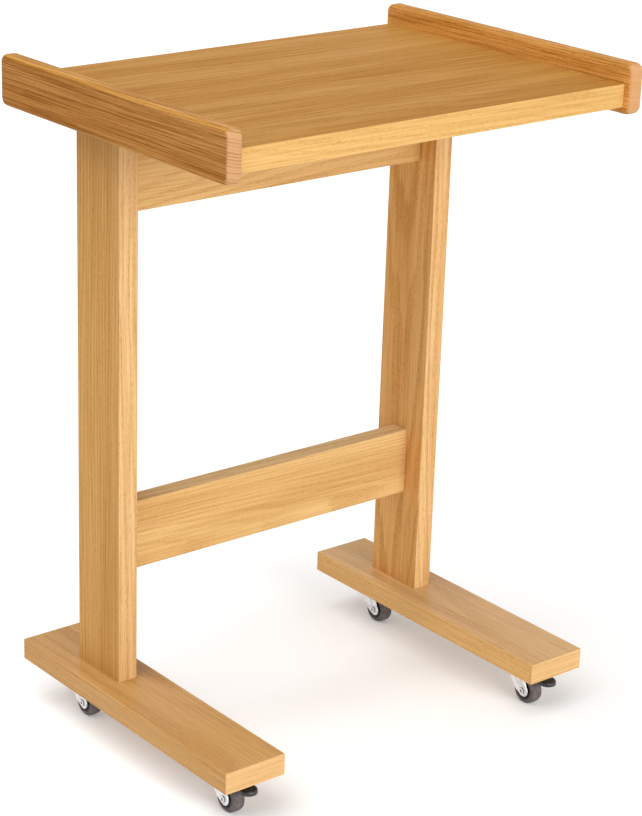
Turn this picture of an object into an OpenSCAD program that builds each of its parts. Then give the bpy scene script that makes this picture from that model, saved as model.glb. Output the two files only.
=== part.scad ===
// Side table on castors, made to slide its feet under a seat or a bed.
// A veneered oak top lies between two raised solid end rails. Two board
// columns, tied by an apron and a stretcher, stand towards the rear of two
// low feet, and each foot rolls on a braked and an unbraked swivel castor.
// X runs along the top, Y from the front to the back, Z up from the floor.
// All sizes are millimetres.

/* [Table top] */
// Floor to the upper face of the top
top_height = 738; // [600:1:900]
// Length of the top between the end rails
top_length = 514; // [440:2:800]
// Depth of the top, edge bands included
top_depth = 380; // [340:2:520]
// Thickness of the top panel
top_thick = 25; // [20:1:32]
// Thickness of the oak bands on the cut edges of the panels
band_thick = 1; // [0.6:0.1:3]

/* [End rails] */
// Thickness of an end rail
rail_thick = 18; // [16:1:26]
// How far a rail stands above the top
rail_rise = 22; // [12:1:40]
// How far a rail hangs below the top
rail_drop = 8; // [4:1:20]
// How far a rail runs past the top at the front and at the back
rail_overhang = 10; // [9:1:20]
// Rounding along the long edges of a rail
rail_edge_r = 4.5; // [2:0.5:6]
// Rounding of a rail's four corners, seen from the side
rail_corner_r = 9; // [7:0.5:16]

/* [Columns] */
// Front to back size of a column
column_depth = 80; // [64:1:110]
// Thickness of a column
column_thick = 24; // [20:1:30]
// End rail to the outer face of the column
column_inset = 27; // [22:1:60]
// Rear edge of the top to the rear face of the column
column_setback = 66; // [50:1:130]

/* [Apron and stretcher] */
// Height of the apron under the top
apron_height = 108; // [70:1:160]
// Height of the stretcher
stretcher_height = 80; // [56:1:120]
// Upper face of the feet to the lower edge of the stretcher
stretcher_rise = 119; // [60:1:300]
// Thickness of the apron and the stretcher
cross_thick = 24; // [18:1:30]

/* [Edges of the boards] */
// Rounding along the long edges of the columns, the cross boards and the feet
board_edge_r = 1; // [0.4:0.1:2]

/* [Feet] */
// Length of a foot, edge bands included
foot_length = 390; // [350:2:390]
// Width of a foot
foot_width = 78; // [60:1:100]
// Thickness of a foot
foot_thick = 25; // [22:1:36]
// How far the middle of a foot lies behind the middle of the top
foot_shift = 4; // [0:1:5]

/* [Wooden joints] */
// Dowel diameter
dowel_d = 8; // [6:1:10]
// Dowel length
dowel_length = 30; // [24:1:36]
// How deep a dowel sits in the thinner of its two boards
dowel_sink = 11; // [8:1:13]
// Free space beyond each end of a dowel
dowel_end_gap = 0.5; // [0.2:0.1:2]
// Board edge to the axis of the nearest dowel
dowel_edge = 18; // [10:1:24]
// Spacing of the dowels along an end rail
rail_dowel_pitch = 100; // [60:1:105]
// Spacing of the dowels along the apron's upper edge
apron_dowel_pitch = 120; // [60:1:180]
// Radial play of dowels and screws in their holes
joint_play = 0.05; // [0.03:0.01:0.1]
// Shank diameter of the screws from the foot into the column
column_screw_d = 5; // [4:0.5:7]
// Length of those screws under the head
column_screw_length = 60; // [45:1:80]
// Head diameter of those screws
column_screw_head_d = 10; // [9:0.5:13]
// Head thickness of those screws
column_screw_head_h = 3; // [2:0.5:5]
// Width across flats of the socket in those heads
column_screw_socket = 4; // [3:0.5:5]

/* [Castor wheel] */
// Diameter of the tyre
wheel_d = 34; // [28:1:40]
// Width of the tread
wheel_w = 16; // [12:1:20]
// Radial thickness of the tyre
tyre_wall = 5.5; // [4.5:0.5:7]
// Rounding of the tread's shoulders
tyre_round = 4; // [1:0.5:4]
// Width of the key on the wheel core that holds the tyre
tyre_key_w = 4; // [2:0.5:8]
// Height of that key
tyre_key_h = 1; // [0.5:0.1:2]
// Depth of the dish in each side of the wheel core
core_dish = 2.5; // [1:0.5:4]
// Diameter of the wheel core's hub
hub_d = 10; // [9:0.5:14]
// Diameter of the hollow axle rivet
axle_d = 5; // [4:0.5:6]
// Diameter of the rolled heads on the axle
axle_head_d = 8; // [7:0.5:10]
// Thickness of those heads
axle_head_h = 1.1; // [0.8:0.1:2]

/* [Castor fork] */
// End of a foot to the swivel axis of its castor
castor_inset = 60; // [48:1:80]
// Horizontal distance from the swivel axis to the axle
trail = 18; // [15:1:22]
// Thickness of the fork's cheeks
cheek_thick = 1.5; // [1.2:0.1:2]
// Gap between the tyre and each cheek
cheek_gap = 1; // [0.6:0.1:2]
// Radius of a cheek's rounded end at the axle
cheek_end_r = 7.2; // [6.4:0.1:9]
// Radius of the lug at the cheek's upper front corner
lug_r = 4.5; // [3.5:0.5:5]
// Gap between the tyre and the fork's crown
headroom = 9.3; // [8.6:0.1:14]
// Thickness of the fork's crown
crown_thick = 2.2; // [2:0.1:3]
// How far the crown reaches past the cheeks
crown_rim = 3; // [2:0.5:5]
// Depth of the skirt round the crown
skirt_depth = 1.6; // [0.8:0.1:3]

/* [Castor plate and swivel] */
// Side of the square mounting plate
plate_w = 38; // [36:1:46]
// Thickness of the mounting plate
plate_thick = 2; // [1.8:0.1:3]
// Corner radius of the mounting plate
plate_corner_r = 4; // [1:0.5:6]
// Spacing of the plate's four screw holes, both ways
plate_hole_pitch = 28; // [27:0.5:32]
// Shank diameter of the plate screws
plate_screw_d = 3.5; // [3:0.1:4]
// Length of the plate screws under the head
plate_screw_length = 16; // [12:1:20]
// Head diameter of the plate screws
plate_screw_head_d = 7; // [6:0.1:8]
// Head thickness of the plate screws
plate_screw_head_h = 1.8; // [1.2:0.1:2.4]
// Thickness of the ball cup under the plate
cup_thick = 1.9; // [1.6:0.1:2.5]
// Diameter of the ball cup
cup_d = 25; // [23:0.5:28]
// Gap between the ball cup and the crown
race_gap = 0.6; // [0.4:0.1:1.2]
// Diameter of the bearing balls
ball_d = 2.4; // [2:0.1:2.6]
// Number of bearing balls
ball_count = 12; // [8:1:18]
// Radius of the circle on which the balls run
ball_circle_r = 8.4; // [8:0.1:9]
// Diameter of the king rivet's shank
king_d = 5; // [4:0.5:6]
// Diameter of the king rivet's heads
king_head_d = 9; // [8:0.5:10]
// Thickness of the king rivet's heads
king_head_h = 1.4; // [1:0.1:1.6]
// Radial play of everything that turns on a pin
running_play = 0.08; // [0.05:0.01:0.1]

/* [Brake pedal] */
// How far the pedal's tip lies ahead of the axle
pedal_reach = 40.5; // [34:0.5:44]
// How much wider the tread plate is than the fork, on each side
pedal_flare = 1; // [0.5:0.1:3]
// Thickness of the pedal's sheet
pedal_sheet = 1.6; // [1.2:0.1:2]
// Depth of the pedal's turned-down lip
pedal_lip = 5.5; // [4:0.5:7]
// Outer radius of the bend between the tread plate and the lip
pedal_bend = 2.4; // [2.2:0.1:3]
// Gap between the pedal and the crown
pedal_clear = 2; // [1.6:0.1:3]
// Gap between the released brake shoe and the tread
shoe_gap = 1.8; // [1.7:0.1:2.6]
// Where the shoe starts, as an angle ahead of the wheel's top
shoe_from = 4; // [0:1:8]
// Where the shoe ends, as an angle ahead of the wheel's top
shoe_to = 20; // [16:1:20]
// Diameter of the pedal's pivot pin
pin_d = 3; // [2.5:0.1:3.5]
// Diameter of the pivot pin's heads
pin_head_d = 4.6; // [4:0.1:6]
// Thickness of the pivot pin's heads
pin_head_h = 0.8; // [0.5:0.1:1.2]

/* [Hidden] */
$fn = 64;
// A cut runs this far past the face that it opens
over = 1;
// Free space beyond the end of a screw, and over a head sunk in its recess
screw_gap = 0.5;
// Axial play under the rivets' heads, and play beside the hub, the pedal and the heads
end_play = 0.1;
side_play = 0.3;
// Radial play of a screw's head in its recess
recess_play = 0.5;
// Rounding of a pressed head, as a share of its thickness
head_round = 0.4;
// Depth of a hexagon socket, as a share of its head's thickness
socket_share = 0.7;
// Overlap where two pieces of one pressing meet
bite = 0.4;

// Finishes
oak_top = [0.76, 0.58, 0.32];
oak_side = [0.90, 0.71, 0.44];
oak_rail = [0.66, 0.44, 0.21];
oak_post = [0.80, 0.60, 0.35];
oak_band = [0.97, 0.79, 0.50];
beech = [0.86, 0.72, 0.52];
zinc = [0.78, 0.78, 0.80];
black_steel = [0.13, 0.12, 0.12];
rubber = [0.27, 0.24, 0.24];
black_plastic = [0.16, 0.15, 0.15];

// Heights of the castor, from the floor up
wheel_r = wheel_d / 2;
crown_z = wheel_d + headroom;
crown_top = crown_z + crown_thick;
ball_z = crown_top + race_gap / 2;
cup_z = crown_top + race_gap;
plate_z = cup_z + cup_thick;
castor_h = plate_z + plate_thick;

// Heights of the table
foot_top = castor_h + foot_thick;
top_z = top_height - top_thick;
column_h = top_z - foot_top;
rail_z = top_z - rail_drop;
rail_h = rail_drop + top_thick + rail_rise;
rail_l = top_depth + 2 * rail_overhang;
stretcher_z = foot_top + stretcher_rise;
apron_z = top_z - apron_height;

// Places along X and Y
top_end = top_length / 2;
column_x = top_end - column_inset - column_thick / 2;
column_in = column_x - column_thick / 2;
column_y = top_depth / 2 - column_setback - column_depth / 2;
foot_front = foot_shift - foot_length / 2;
foot_back = foot_shift + foot_length / 2;

// Dowels: their holes, and where they stand across each board
dowel_hole_r = dowel_d / 2 + joint_play;
dowel_rest = dowel_length - dowel_sink;
dowel_chamfer = 0.8;
column_dowels = [-1, 1] * (column_depth / 2 - dowel_edge);
apron_dowels = [-1, 1] * (apron_height / 2 - dowel_edge);
stretcher_dowels = [-1, 1] * (stretcher_height / 2 - dowel_edge);
apron_dowels_x = [-1, 0, 1] * apron_dowel_pitch;

// Across the castor, from its middle plane outwards
fork_in = wheel_w / 2 + cheek_gap;
fork_out = fork_in + cheek_thick;
crown_r = fork_out + crown_rim;
crown_tab = sqrt(crown_r * crown_r - fork_out * fork_out) - bite;
hub_half = fork_in - side_play;
wing_out = fork_in - side_play;
pedal_half = fork_in + pedal_flare;

// Round the axle
core_r = wheel_r - tyre_wall;
core_rim = 1.8;
core_shy = 1;
core_half = wheel_w / 2 - core_shy;
web_half = core_half - core_dish;
axle_wall = 0.9;

// Side view of the castor as [y, z], with the swivel axis at y = 0. A cheek runs round
// four circles: nose and heel at the axle, rear and pivot under the crown
axle_p = [-trail, wheel_r];
nose_shift = [-2, 0.5];
heel_shift = [7.6, 3.5];
heel_r = 5.2;
rear_r = 4;
rear_inset = 8.5;
nose_p = axle_p + nose_shift;
heel_p = axle_p + heel_shift;
rear_p = [crown_r - rear_inset, crown_z - rear_r + bite];

// Side view of the brake: pivot at the crown's front, tread plate from tread_back
// ahead of the axle to the tip, wings from the pivot to under the tread plate
wing_wall = 1.9;
wing_depth = 5.5;
wing_overlap = 4;
tread_back = 7;
pivot_inset = 0.5;
pivot_rise = 0.6;
pedal_top = crown_z - pedal_clear;
wing_r = pin_d / 2 + wing_wall;
pivot_p = [pivot_inset - crown_r, pedal_top - wing_r + pivot_rise];
tab_y = -trail - tread_back;
tip_y = -trail - pedal_reach;
shoe_r = wheel_r + shoe_gap;

// Castors: name, place of the swivel axis along X and Y
CASTORS = [
    ["front_left", -column_x, foot_front + castor_inset],
    ["front_right", column_x, foot_front + castor_inset],
    ["rear_left", -column_x, foot_back - castor_inset],
    ["rear_right", column_x, foot_back - castor_inset],
];
BRAKED = [CASTORS[0], CASTORS[1]];
PLAIN = [CASTORS[2], CASTORS[3]];

TABLE_NODES = [
    "table_top", "top_front_band", "top_rear_band", "left_rail", "right_rail",
    "left_column", "right_column", "apron", "stretcher", "left_foot", "right_foot",
    "left_foot_front_band", "left_foot_rear_band",
    "right_foot_front_band", "right_foot_rear_band",
    "rail_dowels", "frame_dowels", "top_dowels", "column_screws",
];
CASTOR_NODES = [
    "_castor_plate", "_plate_screws", "_king_rivet", "_balls",
    "_fork", "_axle", "_wheel_core", "_tyre",
];
BRAKE_NODES = ["_brake_pedal", "_brake_pin"];

// Flat shapes

// A rectangle about the origin with four rounded corners
module rounded_rect(w, h, r) {
    square([w - 2 * r, h], center = true);
    square([w, h - 2 * r], center = true);
    for (x = [-1, 1], y = [-1, 1]) {
        translate([x * (w / 2 - r), y * (h / 2 - r)]) circle(r);
    }
}

// Half of a turned section: from radius r0 to r1, w wide, rim edges rounded
module turned_section(r0, r1, w, edge) {
    intersection() {
        translate([r0, -w / 2]) square([r1 - r0, w]);
        union() {
            translate([r0, -w / 2]) square([r1 - r0 - edge, w]);
            translate([r0, edge - w / 2]) square([r1 - r0, w - 2 * edge]);
            for (side = [-1, 1]) {
                translate([r1 - edge, side * (w / 2 - edge)]) circle(edge);
            }
        }
    }
}

// Two circles and the band between their outer tangents
module linked_circles(a, ra, b, rb) {
    gap = norm(b - a);
    along = (b - a) / gap;
    across = [-along[1], along[0]];
    lean = (ra - rb) / gap;
    stand = sqrt(1 - lean * lean);
    left = along * lean + across * stand;
    right = along * lean - across * stand;
    polygon([a + ra * left, b + rb * left, b + rb * right, a + ra * right]);
    translate(a) circle(ra);
    translate(b) circle(rb);
}

// A pressed plate's outline: circles at its corners, each given as [centre, radius]
module pressed_outline(corners) {
    n = len(corners);
    for (i = [0 : n - 1]) {
        j = (i + 1) % n;
        linked_circles(corners[i][0], corners[i][1], corners[j][0], corners[j][1]);
    }
    polygon([for (corner = corners) corner[0]]);
}

// Placing

// Extrudes a side view, drawn as [y, z], from x0 to x1
module from_side(x0, x1) {
    translate([x0, 0, 0]) rotate([90, 0, 90]) linear_extrude(x1 - x0) children();
}

// Extrudes a front view, drawn as [x, z], from y0 to y1
module from_front(y0, y1) {
    translate([0, y1, 0]) rotate([90, 0, 0]) linear_extrude(y1 - y0) children();
}

// Turns a revolved piece so that its axis runs along X through the point p, given as [y, z]
module on_cross_axis(p) {
    translate([0, p[0], p[1]]) rotate([0, 90, 0]) children();
}

// A round hole along X through the whole castor
module cross_hole(p, r) {
    reach = fork_out + over;
    on_cross_axis(p) cylinder(r = r, h = 2 * reach, center = true);
}

module at_castor(c) {
    translate([c[1], c[2], 0]) children();
}

// The four screws of one castor plate, standing on its underside
module at_plate_screws() {
    for (x = [-1, 1], y = [-1, 1]) {
        translate([x * plate_hole_pitch / 2, y * plate_hole_pitch / 2, plate_z]) children();
    }
}

// Dowels between the ends of the top and the rails, pointing into the rails
module at_rail_dowels() {
    for (side = [-1, 1], place = [-1.5 : 1.5]) {
        translate([side * top_end, place * rail_dowel_pitch, top_z + top_thick / 2])
            rotate([0, side * 90, 0]) children();
    }
}

// Dowels between the cross boards and the columns, pointing into the columns
module at_frame_dowels() {
    apron_places = [for (d = apron_dowels) apron_z + apron_height / 2 + d];
    stretcher_places = [for (d = stretcher_dowels) stretcher_z + stretcher_height / 2 + d];
    for (side = [-1, 1], z = concat(apron_places, stretcher_places)) {
        translate([side * column_in, column_y, z]) rotate([0, side * 90, 0]) children();
    }
}

// Dowels on the columns and the apron, pointing up into the top
module at_top_dowels() {
    for (side = [-1, 1], d = column_dowels) {
        translate([side * column_x, column_y + d, top_z]) children();
    }
    for (x = apron_dowels_x) translate([x, column_y, top_z]) children();
}

// Screws that come up through the feet into the columns
module at_column_screws() {
    for (side = [-1, 1], d = column_dowels) {
        translate([side * column_x, column_y + d, castor_h]) children();
    }
}

// Wooden joints

module dowel() {
    r = dowel_d / 2;
    rotate_extrude() polygon([
        [0, -dowel_rest], [r - dowel_chamfer, -dowel_rest], [r, dowel_chamfer - dowel_rest],
        [r, dowel_sink - dowel_chamfer], [r - dowel_chamfer, dowel_sink], [0, dowel_sink],
    ]);
}

// Hole for the short end of a dowel, which points along +Z
module dowel_hole_ahead() {
    translate([0, 0, -over]) cylinder(r = dowel_hole_r, h = dowel_sink + dowel_end_gap + over);
}

// Hole for the long end of a dowel
module dowel_hole_behind() {
    depth = dowel_rest + dowel_end_gap;
    translate([0, 0, -depth]) cylinder(r = dowel_hole_r, h = depth + over);
}

module column_screw() {
    seat = screw_gap + column_screw_head_h;
    socket_depth = column_screw_head_h * socket_share;
    difference() {
        union() {
            translate([0, 0, screw_gap]) cylinder(d = column_screw_head_d, h = column_screw_head_h);
            translate([0, 0, seat]) cylinder(d = column_screw_d, h = column_screw_length);
        }
        translate([0, 0, screw_gap - over])
            cylinder(d = column_screw_socket / cos(30), h = socket_depth + over, $fn = 6);
    }
}

module column_screw_hole() {
    seat = screw_gap + column_screw_head_h;
    translate([0, 0, -over]) cylinder(d = column_screw_head_d + 2 * recess_play, h = seat + over);
    cylinder(d = column_screw_d + 2 * joint_play, h = seat + column_screw_length + screw_gap);
}

// Top and end rails

module table_top() {
    color(oak_top) difference() {
        translate([-top_end, band_thick - top_depth / 2, top_z])
            cube([top_length, top_depth - 2 * band_thick, top_thick]);
        at_rail_dowels() dowel_hole_behind();
        at_top_dowels() dowel_hole_ahead();
    }
}

// Oak band on a cut edge of the top, side -1 at the front and 1 at the back
module top_band(side) {
    y = side * (top_depth - band_thick) / 2;
    color(oak_band) translate([-top_end, y - band_thick / 2, top_z])
        cube([top_length, band_thick, top_thick]);
}

// A board on edge with all its edges rounded over, centred on the origin
module rail_board() {
    straight = rail_l / 2 - rail_corner_r;
    upright = rail_h / 2 - rail_corner_r;
    rotate([90, 0, 0]) linear_extrude(2 * straight, center = true)
        rounded_rect(rail_thick, rail_h, rail_edge_r);
    for (turn = [0, 180]) rotate([0, 0, turn]) translate([0, straight, 0]) {
        linear_extrude(2 * upright, center = true) rotate(90)
            turned_section(0, rail_corner_r, rail_thick, rail_edge_r);
        for (flip = [0, 180]) rotate([0, flip, 0]) translate([0, 0, upright])
            rotate([90, 0, 90]) rotate_extrude(angle = 90)
                turned_section(0, rail_corner_r, rail_thick, rail_edge_r);
    }
}

// End rail, side -1 at the left and 1 at the right
module end_rail(side) {
    color(oak_rail) difference() {
        translate([side * (top_end + rail_thick / 2), 0, rail_z + rail_h / 2]) rail_board();
        at_rail_dowels() dowel_hole_ahead();
    }
}

// Columns, apron, stretcher and feet

module column(side) {
    color(oak_post) difference() {
        translate([side * column_x, column_y, foot_top])
            linear_extrude(column_h) rounded_rect(column_thick, column_depth, board_edge_r);
        at_frame_dowels() dowel_hole_ahead();
        at_top_dowels() dowel_hole_behind();
        at_column_screws() column_screw_hole();
    }
}

// Board between the columns, from height z up
module cross_board(z, height) {
    from_side(-column_in, column_in) translate([column_y, z + height / 2])
        rounded_rect(cross_thick, height, board_edge_r);
}

module apron() {
    color(oak_side) difference() {
        cross_board(apron_z, apron_height);
        at_frame_dowels() dowel_hole_behind();
        at_top_dowels() dowel_hole_behind();
    }
}

module stretcher() {
    color(oak_side) difference() {
        cross_board(stretcher_z, stretcher_height);
        at_frame_dowels() dowel_hole_behind();
    }
}

// A length of foot, from y0 to y1
module foot_board(side, y0, y1) {
    from_front(y0, y1) translate([side * column_x, castor_h + foot_thick / 2])
        rounded_rect(foot_width, foot_thick, board_edge_r);
}

module foot(side) {
    color(oak_post) difference() {
        foot_board(side, foot_front + band_thick, foot_back - band_thick);
        at_column_screws() column_screw_hole();
        for (c = CASTORS) at_castor(c) at_plate_screws()
            cylinder(d = plate_screw_d + 2 * joint_play, h = plate_screw_length + screw_gap);
    }
}

// Oak band on the end of a foot that starts at y
module foot_band(side, y) {
    color(oak_band) foot_board(side, y, y + band_thick);
}

// Castor: plate and swivel

module ball_groove() {
    translate([0, 0, ball_z]) rotate_extrude()
        translate([ball_circle_r, 0]) circle(ball_d / 2 + running_play);
}

module castor_plate() {
    color(zinc) difference() {
        union() {
            translate([0, 0, plate_z]) linear_extrude(plate_thick)
                rounded_rect(plate_w, plate_w, plate_corner_r);
            translate([0, 0, cup_z]) cylinder(d = cup_d, h = cup_thick);
        }
        ball_groove();
        translate([0, 0, cup_z - over])
            cylinder(d = king_d + 2 * joint_play, h = cup_thick + plate_thick + 2 * over);
        translate([0, 0, castor_h - end_play - king_head_h])
            cylinder(d = king_head_d + 2 * side_play, h = king_head_h + end_play + over);
        at_plate_screws() translate([0, 0, -over])
            cylinder(d = plate_screw_d + 2 * side_play, h = plate_thick + 2 * over);
    }
}

// One pan head screw, with its head under the plate and a blunt cone for a point
module plate_screw() {
    r = plate_screw_d / 2;
    head_h = plate_screw_head_h;
    straight = plate_screw_length - plate_screw_d;
    rotate_extrude() {
        translate([0, -head_h / 2])
            turned_section(0, plate_screw_head_d / 2, head_h, head_h * head_round);
        polygon([
            [0, -head_h / 2], [r, -head_h / 2], [r, straight],
            [r / 4, plate_screw_length], [0, plate_screw_length],
        ]);
    }
}

module plate_screws() {
    color(zinc) at_plate_screws() plate_screw();
}

module king_rivet() {
    low = crown_z - end_play - king_head_h;
    high = castor_h - end_play - king_head_h;
    color(zinc) {
        translate([0, 0, low]) cylinder(d = king_head_d, h = king_head_h);
        translate([0, 0, low]) cylinder(d = king_d, h = high - low + king_head_h);
        translate([0, 0, high]) cylinder(d = king_head_d, h = king_head_h);
    }
}

module ball_ring() {
    color(zinc) for (i = [0 : ball_count - 1])
        rotate(360 * i / ball_count) translate([ball_circle_r, 0, ball_z]) sphere(d = ball_d);
}

// Castor: fork and wheel

// One cheek seen from the side, with the tab that joins it to the crown
module cheek_outline() {
    pressed_outline([[nose_p, cheek_end_r], [heel_p, heel_r], [rear_p, rear_r], [pivot_p, lug_r]]);
    translate([-crown_tab, rear_p[1]]) square([2 * crown_tab, crown_top - rear_p[1]]);
}

// The pressed fork, with holes in its lugs where it carries a brake
module fork(braked) {
    skirt_z = crown_z - skirt_depth;
    color(zinc) difference() {
        union() {
            translate([0, 0, crown_z]) cylinder(r = crown_r, h = crown_thick);
            difference() {
                translate([0, 0, skirt_z]) cylinder(r = crown_r, h = skirt_depth + bite);
                translate([0, 0, skirt_z - over])
                    cylinder(r = crown_r - cheek_thick, h = skirt_depth + over);
                translate([-fork_in, -crown_r - over, skirt_z - over])
                    cube([2 * fork_in, crown_r + over, skirt_depth + over]);
            }
            for (x = [-fork_out, fork_in]) from_side(x, x + cheek_thick) cheek_outline();
        }
        ball_groove();
        translate([0, 0, crown_z - over])
            cylinder(d = king_d + 2 * running_play, h = crown_thick + 2 * over);
        cross_hole(axle_p, axle_d / 2 + joint_play);
        if (braked) cross_hole(pivot_p, pin_d / 2 + joint_play);
    }
}

// A tubular rivet with its two rolled heads against the cheeks
module axle() {
    bore_r = axle_d / 2 - axle_wall;
    color(zinc) on_cross_axis(axle_p) rotate_extrude() {
        translate([bore_r, -fork_out - axle_head_h]) square([axle_wall, 2 * (fork_out + axle_head_h)]);
        for (side = [-1, 1]) translate([0, side * (fork_out + axle_head_h / 2)])
            turned_section(bore_r, axle_head_d / 2, axle_head_h, axle_head_h * head_round);
    }
}

module wheel_core() {
    bore_r = axle_d / 2 + running_play;
    color(black_plastic) on_cross_axis(axle_p) rotate_extrude() {
        translate([bore_r, -hub_half]) square([hub_d / 2 - bore_r, 2 * hub_half]);
        translate([bore_r, -web_half]) square([core_r - bore_r, 2 * web_half]);
        translate([core_r - core_rim, -core_half]) square([core_rim, 2 * core_half]);
        translate([core_r - core_rim, -tyre_key_w / 2]) square([core_rim + tyre_key_h, tyre_key_w]);
    }
}

module tyre() {
    color(rubber) on_cross_axis(axle_p) rotate_extrude() difference() {
        turned_section(core_r + joint_play, wheel_r, wheel_w, tyre_round);
        translate([core_r - over, -tyre_key_w / 2 - joint_play])
            square([over + tyre_key_h + joint_play, tyre_key_w + 2 * joint_play]);
    }
}

// Castor: brake

// Half of the tread plate's section: the plate, the bend and the turned-down lip
module bent_sheet() {
    flat = pedal_half - pedal_bend;
    translate([0, -pedal_sheet]) square([flat, pedal_sheet]);
    translate([pedal_half - pedal_sheet, -pedal_lip]) square([pedal_sheet, pedal_lip - pedal_bend]);
    translate([flat, -pedal_bend]) intersection() {
        square(pedal_bend);
        difference() {
            circle(pedal_bend);
            circle(pedal_bend - pedal_sheet);
        }
    }
}

// The tread plate: the section runs forward along both sides and round the tip
module tread_plate() {
    middle = tip_y + pedal_half;
    translate([0, 0, pedal_top]) {
        translate([0, middle, 0]) rotate([0, 0, 180]) rotate_extrude(angle = 180) bent_sheet();
        for (turn = [0, 180]) {
            translate([0, turn == 0 ? tab_y : middle, 0]) rotate([90, 0, turn])
                linear_extrude(tab_y - middle) bent_sheet();
        }
    }
}

// One wing of the pedal, from its pivot to under the tread plate
module wing_outline() {
    front = tab_y - wing_overlap;
    translate(pivot_p) circle(wing_r);
    translate([front, pedal_top - wing_depth]) square([pivot_p[0] - front, wing_depth]);
}

// The shoe under the pedal, hollowed to the tread's curve
module shoe_outline() {
    front = axle_p[0] - shoe_r * sin(shoe_to);
    back = axle_p[0] - shoe_r * sin(shoe_from);
    difference() {
        translate([front, wheel_r]) square([back - front, pedal_top - pedal_sheet / 2 - wheel_r]);
        translate(axle_p) circle(shoe_r);
    }
}

module brake_pedal() {
    neck_back = pivot_p[0] + wing_r / 2;
    shoe_half = wing_out - pedal_sheet / 2;
    color(black_steel) difference() {
        union() {
            tread_plate();
            translate([-wing_out, tab_y - over, pedal_top - pedal_sheet])
                cube([2 * wing_out, neck_back - tab_y + over, pedal_sheet]);
            for (x = [-wing_out, wing_out - pedal_sheet]) from_side(x, x + pedal_sheet) wing_outline();
            from_side(-shoe_half, shoe_half) shoe_outline();
        }
        cross_hole(pivot_p, pin_d / 2 + running_play);
    }
}

module brake_pin() {
    color(zinc) on_cross_axis(pivot_p) {
        cylinder(d = pin_d, h = 2 * fork_out + pin_head_h, center = true);
        for (side = [-1, 1]) translate([0, 0, side * (fork_out + pin_head_h / 2)])
            cylinder(d = pin_head_d, h = pin_head_h, center = true);
    }
}

// Nodes

table_top();
top_band(-1);  // top_front_band
top_band(1);  // top_rear_band
end_rail(-1);  // left_rail
end_rail(1);  // right_rail
column(-1);  // left_column
column(1);  // right_column
apron();
stretcher();
foot(-1);  // left_foot
foot(1);  // right_foot
foot_band(-1, foot_front);  // left_foot_front_band
foot_band(-1, foot_back - band_thick);  // left_foot_rear_band
foot_band(1, foot_front);  // right_foot_front_band
foot_band(1, foot_back - band_thick);  // right_foot_rear_band
color(beech) at_rail_dowels() dowel();  // rail_dowels
color(beech) at_frame_dowels() dowel();  // frame_dowels
color(beech) at_top_dowels() dowel();  // top_dowels
color(zinc) at_column_screws() column_screw();  // column_screws
for (c = CASTORS) {
    at_castor(c) castor_plate();
    at_castor(c) plate_screws();
    at_castor(c) king_rivet();
    at_castor(c) ball_ring();
    at_castor(c) axle();
    at_castor(c) wheel_core();
    at_castor(c) tyre();
}
for (c = PLAIN) {
    at_castor(c) fork(false);
}
for (c = BRAKED) {
    at_castor(c) fork(true);
    at_castor(c) brake_pedal();
    at_castor(c) brake_pin();
}
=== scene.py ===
"""Looks of an oak side table on castors: its meshes, finishes, camera and light.

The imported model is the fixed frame. Lengths are metres: X runs along the top,
Y from the front to the back and Z up from the floor.
"""
import logging
import math
from dataclasses import dataclass, replace
from enum import Enum
from functools import partial
from typing import Any, Sequence

import bmesh
import bpy
from mathutils import Matrix, Vector


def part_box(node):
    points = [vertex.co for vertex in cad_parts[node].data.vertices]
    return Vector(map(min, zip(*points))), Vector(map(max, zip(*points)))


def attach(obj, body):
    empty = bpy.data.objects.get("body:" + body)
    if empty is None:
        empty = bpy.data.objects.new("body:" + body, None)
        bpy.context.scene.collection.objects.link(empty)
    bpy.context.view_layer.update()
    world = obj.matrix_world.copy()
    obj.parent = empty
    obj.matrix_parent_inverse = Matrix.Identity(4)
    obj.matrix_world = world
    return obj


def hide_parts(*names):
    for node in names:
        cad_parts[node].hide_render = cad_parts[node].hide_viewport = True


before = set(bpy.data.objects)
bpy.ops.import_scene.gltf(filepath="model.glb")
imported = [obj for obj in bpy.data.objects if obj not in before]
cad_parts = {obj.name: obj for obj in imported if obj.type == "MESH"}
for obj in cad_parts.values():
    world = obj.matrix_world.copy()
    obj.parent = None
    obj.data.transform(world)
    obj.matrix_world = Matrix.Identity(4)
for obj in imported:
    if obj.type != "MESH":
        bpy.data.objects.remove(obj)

log = logging.getLogger("side_table")

MM = 0.001
TABLE = "table"
SMOOTH_BELOW = math.radians(40)
DISPLAY_POWER = 2.2
# How far a shell stays inside its neighbour where both would share a plane, in millimetres
SKIN = 0.02
Material = bpy.types.Material
Socket = bpy.types.NodeSocket
Piece = bpy.types.Object
Colour = tuple[float, float, float]
Point2 = tuple[float, float]
Place = tuple[float, float, float]
WHITE: Colour = (1.0, 1.0, 1.0)


class Axis(Enum):
    """A row axis: the one that grain follows, a plate faces or a turned piece turns about."""

    X = 0
    Y = 1
    Z = 2


# Node trees


def tone(red: int, green: int, blue: int) -> Colour:
    """Turns a display colour from 0 to 255 into the linear colour that a shader takes.

    Args:
        red: Red as it shows on screen.
        green: Green as it shows on screen.
        blue: Blue as it shows on screen.

    Returns:
        The colour in linear light.
    """
    def linear(value: int) -> float:
        """Undoes the display curve for one channel."""
        share = value / 255
        return share / 12.92 if share <= 0.04045 else ((share + 0.055) / 1.055) ** 2.4

    return linear(red), linear(green), linear(blue)


def shown(colour: Colour) -> Colour:
    """Turns a linear colour into about the shares of full brightness that it shows as."""
    return tuple(part ** (1 / DISPLAY_POWER) for part in colour)


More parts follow.
